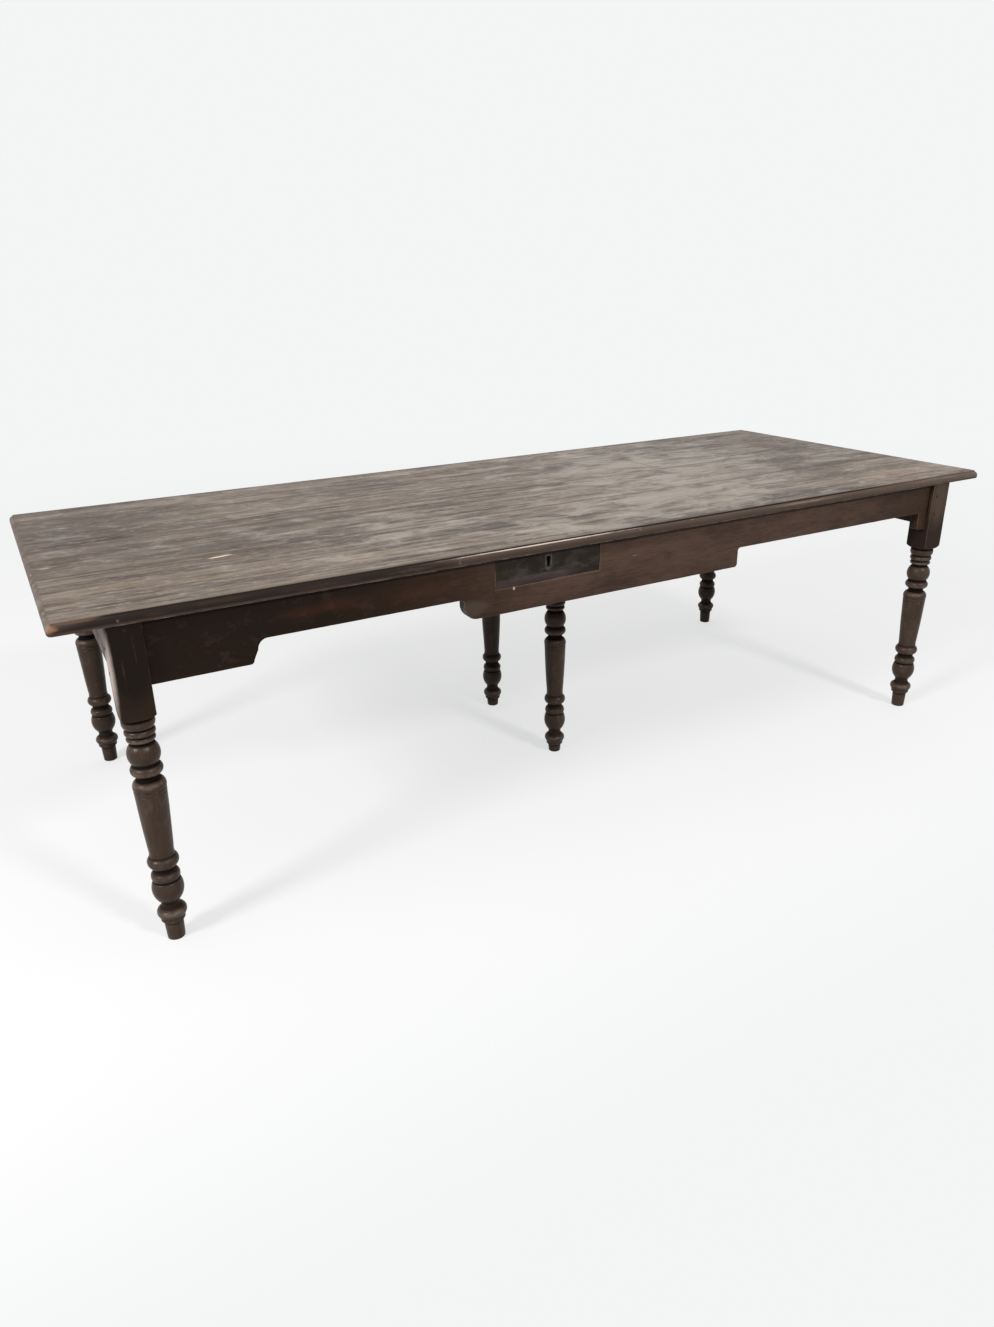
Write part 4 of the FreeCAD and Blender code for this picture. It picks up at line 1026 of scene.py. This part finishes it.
    def build(self) -> None:
        """Make the boards, and keep the pegs that hold them down."""
        for index, board in enumerate(self.boards):
            self.stand_in(board, self.board_mesh(index), Body.TABLE, Slot.TOP)
        self.keep(self.pegs)

    def dress(self) -> None:
        """Finish each board with its own figure."""
        for index, board in enumerate(self.boards):
            self.paint(SCRUBBED_ELM.material(Grain.ALONG_X, self.figure_shift * index), board)
        self.paint(SCRUBBED_ELM.material(Grain.ALONG_Z), self.pegs)


@dataclass
class TurnedLegs(SubAssembly):
    """Six legs turned below square blocks, rubbed and painted with a sheen on the beads, and dark with dirt
    and painted shade in the hollows, in millimetres.
    """

    legs: tuple[str, ...] = (
        "leg_front_left", "leg_back_left", "leg_front_right", "leg_back_right",
        "leg_middle_front", "leg_middle_back",
    )
    figure_shift: float = 2.3
    ring: float = 1.25
    # One ring in so many is kept on a block, which is straight
    block_every: int = 16
    sides: int = 72
    corner_turns: tuple[float, ...] = (-2.0, -0.8, 0.8, 2.0)
    corner_width_deg: float = 2.2
    corner_wear: float = 0.9
    squareness: float = 40.0
    # Share of a block's half diagonal from which a ring is square
    square_from: float = 0.995
    # How far a ring reaches past a block's half side, as a share of it, where it has all of a block's wear
    block_lead: float = 0.3
    block_grime: float = 0.62
    blend: float = 0.3
    dent: float = 0.35
    dent_size: Place = (34, 34, 60)
    # Length over which beads stand out, and height from which beads are fully worn and painted with their
    # sheen, and hollows fully dark with dirt and painted shade
    crest: float = 12.0
    full_crest: float = 3.0
    sharp_deg: float = 50.0

    def profile(self, node: str) -> tuple[np.ndarray, np.ndarray]:
        """Read the turning off the frame's leg.

        Args:
            node: Frame node of the leg.

        Returns:
            Heights up the leg, and the radius at each, in metres.
        """
        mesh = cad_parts[node].data
        points = np.empty(3 * len(mesh.vertices))
        mesh.vertices.foreach_get("co", points)
        points = points.reshape(-1, 3)
        edges = np.empty(2 * len(mesh.edges), dtype=int)
        mesh.edges.foreach_get("vertices", edges)
        low, high = (np.array(corner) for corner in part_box(node))
        middle = (low + high) / 2
        radius = np.hypot(points[:, 0] - middle[0], points[:, 1] - middle[1])
        pairs = edges.reshape(-1, 2)
        pairs = np.where(points[pairs[:, :1], 2] > points[pairs[:, 1:], 2], pairs[:, ::-1], pairs)
        z, r = points[pairs, 2], radius[pairs]
        slanted = z[:, 1] - z[:, 0] > HAIR
        z, r = z[slanted], r[slanted]
        heights = np.linspace(low[2], high[2], int((high[2] - low[2]) / (self.ring * MM)) + 1)
        radii = []
        for height in np.clip(heights, low[2] + NEAR, high[2] - NEAR):
            spans = (z[:, 0] <= height) & (height <= z[:, 1])
            share = (height - z[spans, 0]) / (z[spans, 1] - z[spans, 0])
            radii.append(np.max(r[spans, 0] + share * (r[spans, 1] - r[spans, 0])))
        return heights, np.array(radii)

    def leg_mesh(self, node: str, seed: float) -> bpy.types.Mesh:
        """Turn one leg.

        Args:
            node: Frame node of the leg.
            seed: Moves its dents.

        Returns:
            The leg's mesh.
        """
        heights, radii = self.profile(node)
        low, high = (np.array(corner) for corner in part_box(node))
        half = (high[0] - low[0]) / 2
        window = 2 * int(self.crest / self.ring) + 1
        padded = np.pad(radii, window // 2, mode="edge")
        proud = radii - np.convolve(padded, np.ones(window) / window, mode="valid")
        square = radii > self.square_from * math.sqrt(2) * half
        shown = ~square | (np.arange(len(heights)) % self.block_every == 0)
        shown[-1] = True
        corners = [45 + 90 * side + turn for side in range(4) for turn in self.corner_turns]
        turns = np.radians(np.sort(np.concatenate((np.arange(self.sides) * 360 / self.sides, corners))))
        cosine, sine = np.cos(turns), np.sin(turns)
        power = self.squareness
        plan = half / (np.abs(cosine) ** power + np.abs(sine) ** power) ** (1 / power)
        near_corner = np.exp(-((np.degrees(turns) % 90 - 45) / self.corner_width_deg) ** 2)
        soft, full = self.blend * MM, self.full_crest * MM
        draft = Draft()
        rows = []
        for height, radius, stands in zip(heights[shown], radii[shown], proud[shown]):
            reach = -soft * np.logaddexp(-radius / soft, -plan / soft)
            ring = np.stack((reach * cosine, reach * sine, np.full_like(turns, height)), axis=1)
            in_block = np.clip((radius - half) / (self.block_lead * half), 0, 1)
            # Beads get wear with a painted sheen, and hollows get grime with painted shade; blocks keep their
            # own wear and grime.
            bead, hollow = (np.clip(side * stands / full, 0, 1) for side in (1, -1))
            wear_and_sheen = np.maximum(bead * (1 - in_block), self.corner_wear * near_corner * in_block)
            rows.append(draft.add(ring, wear_and_sheen, hollow + (self.block_grime - hollow) * in_block))
        points = np.concatenate(draft.points)
        push = self.dent * MM * ripple(points, self.dent_size, seed) / np.hypot(points[:, 0], points[:, 1])
        points[:, :2] *= 1 + push[:, None]
        points[:, :2] += ((low + high) / 2)[:2]
        draft.points = [points]
        draft.skin(rows, True)
        draft.faces += [rows[0].tolist(), rows[-1].tolist()]
        return draft.mesh(node + "_worn", self.sharp_deg)

    def build(self) -> None:
        """Turn the six legs."""
        for index, leg in enumerate(self.legs):
            self.stand_in(leg, self.leg_mesh(leg, index + 1.0), Body.TABLE, Slot.FRAME)

    def dress(self) -> None:
        """Finish each leg with its own figure."""
        for index, leg in enumerate(self.legs):
            self.paint(TURNED_ELM.material(Grain.ALONG_Z, self.figure_shift * index), leg)


@dataclass
class ApronFrame(SubAssembly):
    """Stepped long aprons and straight end aprons, with the pegs of their joints."""

    long_aprons: tuple[str, ...] = ("front_apron", "back_apron")
    end_aprons: tuple[str, ...] = ("left_end_apron", "right_end_apron")
    pegs: str = "joint_pegs"
    arris_mm: float = 1.6
    long_shift: float = 1.9
    end_shift: float = 1.3

    def faces(self, node: str, axis: int) -> EdgeTest:
        """Tell the edges that lie in a board's two faces.

        Args:
            node: Frame node of the board.
            axis: Axis across its thickness.

        Returns:
            A test of an edge's two ends.
        """
        sides = [corner[axis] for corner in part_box(node)]
        return lambda a, b: any(both_at(a, b, axis, side) for side in sides)

    def build(self) -> None:
        """Rub the arrises of the four boards, and keep the pegs."""
        for axis, aprons in ((1, self.long_aprons), (0, self.end_aprons)):
            for apron in aprons:
                mesh = rubbed_copy(apron, self.arris_mm, self.faces(apron, axis))
                self.stand_in(apron, mesh, Body.TABLE, Slot.FRAME)
        self.keep(self.pegs)

    def dress(self) -> None:
        """Finish the boards along their length, and the pegs on end grain."""
        for index, apron in enumerate(self.long_aprons):
            self.paint(STAINED_ELM.material(Grain.ALONG_X, self.long_shift * index), apron)
        for index, apron in enumerate(self.end_aprons):
            self.paint(STAINED_ELM.material(Grain.ALONG_Y, self.end_shift * index), apron)
        self.paint(STAINED_ELM.material(Grain.ALONG_Z), self.pegs)


@dataclass
class InnerCarcass(SubAssembly):
    """Rail, blocks, runners and stops under the top, left as they were sawn."""

    across: tuple[str, ...] = (
        "cross_rail", "drawer_runner_left", "drawer_runner_right", "drawer_stop_left", "drawer_stop_right"
    )
    blocks: str = "glue_blocks"
    pegs: str = "cross_rail_pegs"
    arris_mm: float = 0.8
    station_mm: float = 60.0

    def build(self) -> None:
        """Ease the sawn pieces, and keep the pegs."""
        for node in (*self.across, self.blocks):
            mesh = rubbed_copy(node, self.arris_mm, self.long_edge, self.station_mm)
            self.stand_in(node, mesh, Body.TABLE, Slot.INNER)
        self.keep(self.pegs)

    def dress(self) -> None:
        """Leave everything bare."""
        self.paint(BARE_DEAL.material(Grain.ALONG_Y), *self.across)
        self.paint(BARE_DEAL.material(Grain.ALONG_X), self.blocks, self.pegs)


@dataclass
class Drawer(SubAssembly):
    """Drawer with a dark front on a bare box."""

    front: str = "drawer_front"
    sides: tuple[str, ...] = ("drawer_side_left", "drawer_side_right")
    across: tuple[str, ...] = ("drawer_back", "drawer_bottom")
    nails: str = "drawer_nails"
    front_arris_mm: float = 1.3
    box_arris_mm: float = 0.6
    box_station_mm: float = 60.0
    box_dent_mm: float = 0.1
    side_shift: float = 4.0
    across_shift: float = 6.0

    def front_rim(self, a: Vector, b: Vector) -> bool:
        """Tell the edges that run round the face of the front from those round the escutcheon's seat.

        Args:
            a: One end of an edge.
            b: Its other end.

        Returns:
            Whether the edge runs round the face.
        """
        low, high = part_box(self.front)
        rim = [(axis, corner[axis]) for axis in (0, 2) for corner in (low, high)]
        return both_at(a, b, 1, low.y) and any(both_at(a, b, *side) for side in rim)

    def build(self) -> None:
        """Rub the front's rim, ease the box and keep the nails."""
        mesh = rubbed_copy(self.front, self.front_arris_mm, self.front_rim)
        self.stand_in(self.front, mesh, Body.DRAWER, Slot.DRAWER_FRONT)
        for node in (*self.sides, *self.across):
            mesh = rubbed_copy(node, self.box_arris_mm, self.long_edge, self.box_station_mm, self.box_dent_mm)
            self.stand_in(node, mesh, Body.DRAWER, Slot.INNER)
        self.keep(self.nails)

    def dress(self) -> None:
        """Smoke the front and leave the box bare."""
        self.paint(SMOKED_ELM.material(Grain.ALONG_X), self.front)
        self.paint(BARE_DEAL.material(Grain.ALONG_Y, self.side_shift), *self.sides)
        self.paint(BARE_DEAL.material(Grain.ALONG_X, self.across_shift), *self.across)
        self.paint(WROUGHT_IRON.material(), self.nails)


@dataclass
class Lock(SubAssembly):
    """Iron lock behind the drawer front, and the pale escutcheon round its keyhole."""

    plates: tuple[str, ...] = ("lock_plate", "lock_cap", "lock_bolt")
    small: tuple[str, ...] = ("lock_pin", "lock_screws")
    escutcheon: str = "escutcheon"
    plate_arris_mm: float = 0.4
    escutcheon_arris_mm: float = 0.15

    def build(self) -> None:
        """Keep the metal pieces, with the larger arrises eased."""
        for node in self.plates:
            self.keep(node, self.plate_arris_mm)
        for node in self.small:
            self.keep(node)
        self.keep(self.escutcheon, self.escutcheon_arris_mm)

    def dress(self) -> None:
        """Leave the lock black with rust, and tin the escutcheon."""
        self.paint(WROUGHT_IRON.material(), *self.plates, *self.small)
        self.paint(TINNED_IRON.material(), self.escutcheon)


@dataclass
class SoftLight:
    """A large soft light that looks at the table, in metres."""

    name: str
    place: Place
    target: Place
    width: float
    power: float

    def build(self) -> None:
        """Hang the light."""
        lamp = bpy.data.lights.new(self.name, "AREA")
        lamp.shape = "DISK"
        lamp.size = self.width
        lamp.energy = self.power
        holder = add_object(self.name, lamp)
        holder.location = self.place
        way = Vector(self.target) - Vector(self.place)
        holder.rotation_euler = way.to_track_quat("-Z", "Y").to_euler()


@dataclass
class Studio:
    """Pale floor, soft light and the camera of the photograph, in metres where no unit is named."""

    floor_reach: float = 90.0
    floor_colour: str = "#858584"
    floor_cloud_mm: float = 900.0
    floor_tone: Span = (0.97, 1.0)
    floor_lift: float = 0.695
    # Distances from the middle, and places in front of it, between which the floor fades into the backdrop
    floor_fade: Span = (1.2, 6.5)
    floor_front_fade: Span = (-0.55, -1.5)
    backdrop: str = "#f4f5f5"
    # Light from in front of the table and from behind it, and the directions between which it grows
    sky_levels: Span = (0.4, 0.85)
    sky_turn: Span = (-0.9, 0.4)
    camera_mm: Place = (-1371.9, -2326.5, 1339.5)
    yaw_deg: float = 28.722
    pitch_deg: float = 22.342
    roll_deg: float = -1.11
    focal_px: float = 934.0
    frame_px: float = 1327.0
    sensor_mm: float = 36.0
    lights: tuple[SoftLight, ...] = (
        SoftLight("left_light", (-5.4, -1.7, 3.7), (0.0, 0.0, 0.4), 1.5, 330.0),
        SoftLight("front_light", (1.5, -6.0, 5.0), (0.1, 0.0, 0.4), 1.2, 360.0),
    )

    def build_floor(self) -> None:
        """Lay a floor that reaches to the horizon."""
        reach = self.floor_reach
        mesh = bpy.data.meshes.new("floor")
        corners = [(x * reach, y * reach, 0) for x, y in ((-1, -1), (1, -1), (1, 1), (-1, 1))]
        mesh.from_pydata(corners, [], [(0, 1, 2, 3)])
        mesh.materials.append(self.floor_paint())
        add_object("floor", mesh)

    def floor_paint(self) -> bpy.types.Material:
        """Make the floor's paint.

        Returns:
            The material.
        """
        # Translucent white sweep lit from below: even, so it shows only faint shadows.
        shade = Shade("lit_white_sweep")
        tree = shade.tree
        clouds = shade.streaks(Pattern.PLAIN, (self.floor_cloud_mm,) * 3).outputs[0]
        dim, full = self.floor_tone
        tone = add_node(tree, "MapRange", {"Value": clouds, "To Min": dim, "To Max": full}).outputs[0]
        paint = add_node(tree, "BsdfDiffuse", {"Color": linear(self.floor_colour)}).outputs[0]
        path = add_node(tree, "LightPath").outputs
        ray = shade.combine("MAXIMUM", path["Is Camera Ray"], path["Is Glossy Ray"])
        level = shade.combine("MULTIPLY", shade.combine("MULTIPLY", ray, self.floor_lift), tone)
        backdrop = linear(self.backdrop)
        glow = add_node(tree, "Emission", {"Color": backdrop, "Strength": level}).outputs[0]
        near = add_node(tree, "AddShader", {0: paint, 1: glow}).outputs[0]
        far = add_node(tree, "Emission", {"Color": backdrop, "Strength": 1.0}).outputs[0]
        away = add_node(tree, "VectorMath", {0: shade.place}, operation="LENGTH").outputs["Value"]
        forward = add_node(tree, "SeparateXYZ", {0: shade.place}).outputs["Y"]
        # Only what is seen fades in front, so the table's front gets no more light from it.
        in_front = shade.combine("MULTIPLY", ray, shade.window(forward, self.floor_front_fade))
        fade = shade.combine("MAXIMUM", shade.window(away, self.floor_fade), in_front)
        both = add_node(tree, "MixShader", {0: fade, 1: near, 2: far}).outputs[0]
        add_node(tree, "OutputMaterial", {"Surface": both})
        return shade.material

    def build_world(self) -> None:
        """Surround the table with white that is brighter behind it than in front."""
        world = bpy.data.worlds.new("white_studio")
        world.use_nodes = True
        tree = world.node_tree
        tree.nodes.clear()
        direction = add_node(tree, "TexCoord").outputs["Generated"]
        depth = add_node(tree, "SeparateXYZ", {0: direction}).outputs["Y"]
        (start, end), (front, back) = self.sky_turn, self.sky_levels
        inputs = {"Value": depth, "From Min": start, "From Max": end, "To Min": front, "To Max": back}
        level = add_node(tree, "MapRange", inputs, interpolation_type="SMOOTHSTEP").outputs[0]
        glow = add_node(tree, "Background", {"Color": linear("#ffffff"), "Strength": level}).outputs[0]
        seen = add_node(tree, "Background", {"Color": linear(self.backdrop), "Strength": 1.0}).outputs[0]
        ray = add_node(tree, "LightPath").outputs["Is Camera Ray"]
        both = add_node(tree, "MixShader", {0: ray, 1: glow, 2: seen}).outputs[0]
        add_node(tree, "OutputWorld", {"Surface": both})
        bpy.context.scene.world = world

    def build_camera(self) -> None:
        """Stand the camera where the photograph was taken from."""
        yaw, pitch, roll = (math.radians(turn) for turn in (self.yaw_deg, self.pitch_deg, self.roll_deg))
        ahead = Vector((math.sin(yaw) * math.cos(pitch), math.cos(yaw) * math.cos(pitch), -math.sin(pitch)))
        right = Vector((math.cos(yaw), -math.sin(yaw), 0.0))
        up = right.cross(ahead)
        level_right = math.cos(roll) * right + math.sin(roll) * up
        level_up = math.cos(roll) * up - math.sin(roll) * right
        lens = bpy.data.cameras.new("photograph")
        lens.sensor_width = self.sensor_mm
        lens.lens = self.focal_px / self.frame_px * self.sensor_mm
        camera = add_object("photograph", lens)
        turn = Matrix((level_right, level_up, -ahead)).transposed()
        camera.matrix_world = Matrix.Translation(Vector(self.camera_mm) * MM) @ turn.to_4x4()
        bpy.context.scene.camera = camera

    def build(self) -> None:
        """Set up everything round the table."""
        self.build_floor()
        self.build_world()
        self.build_camera()
        for light in self.lights:
            light.build()
        bpy.context.scene.view_settings.view_transform = "Standard"


def main() -> None:
    """Build the table and the studio."""
    logging.basicConfig(level=logging.INFO, format="%(name)s %(message)s")
    noise.seed_set(DENT_SEED)
    for part in (PlankTop(), TurnedLegs(), ApronFrame(), InnerCarcass(), Drawer(), Lock()):
        part.build()
        part.dress()
        part.report()
    Studio().build()


if __name__ == "__main__":
    main()
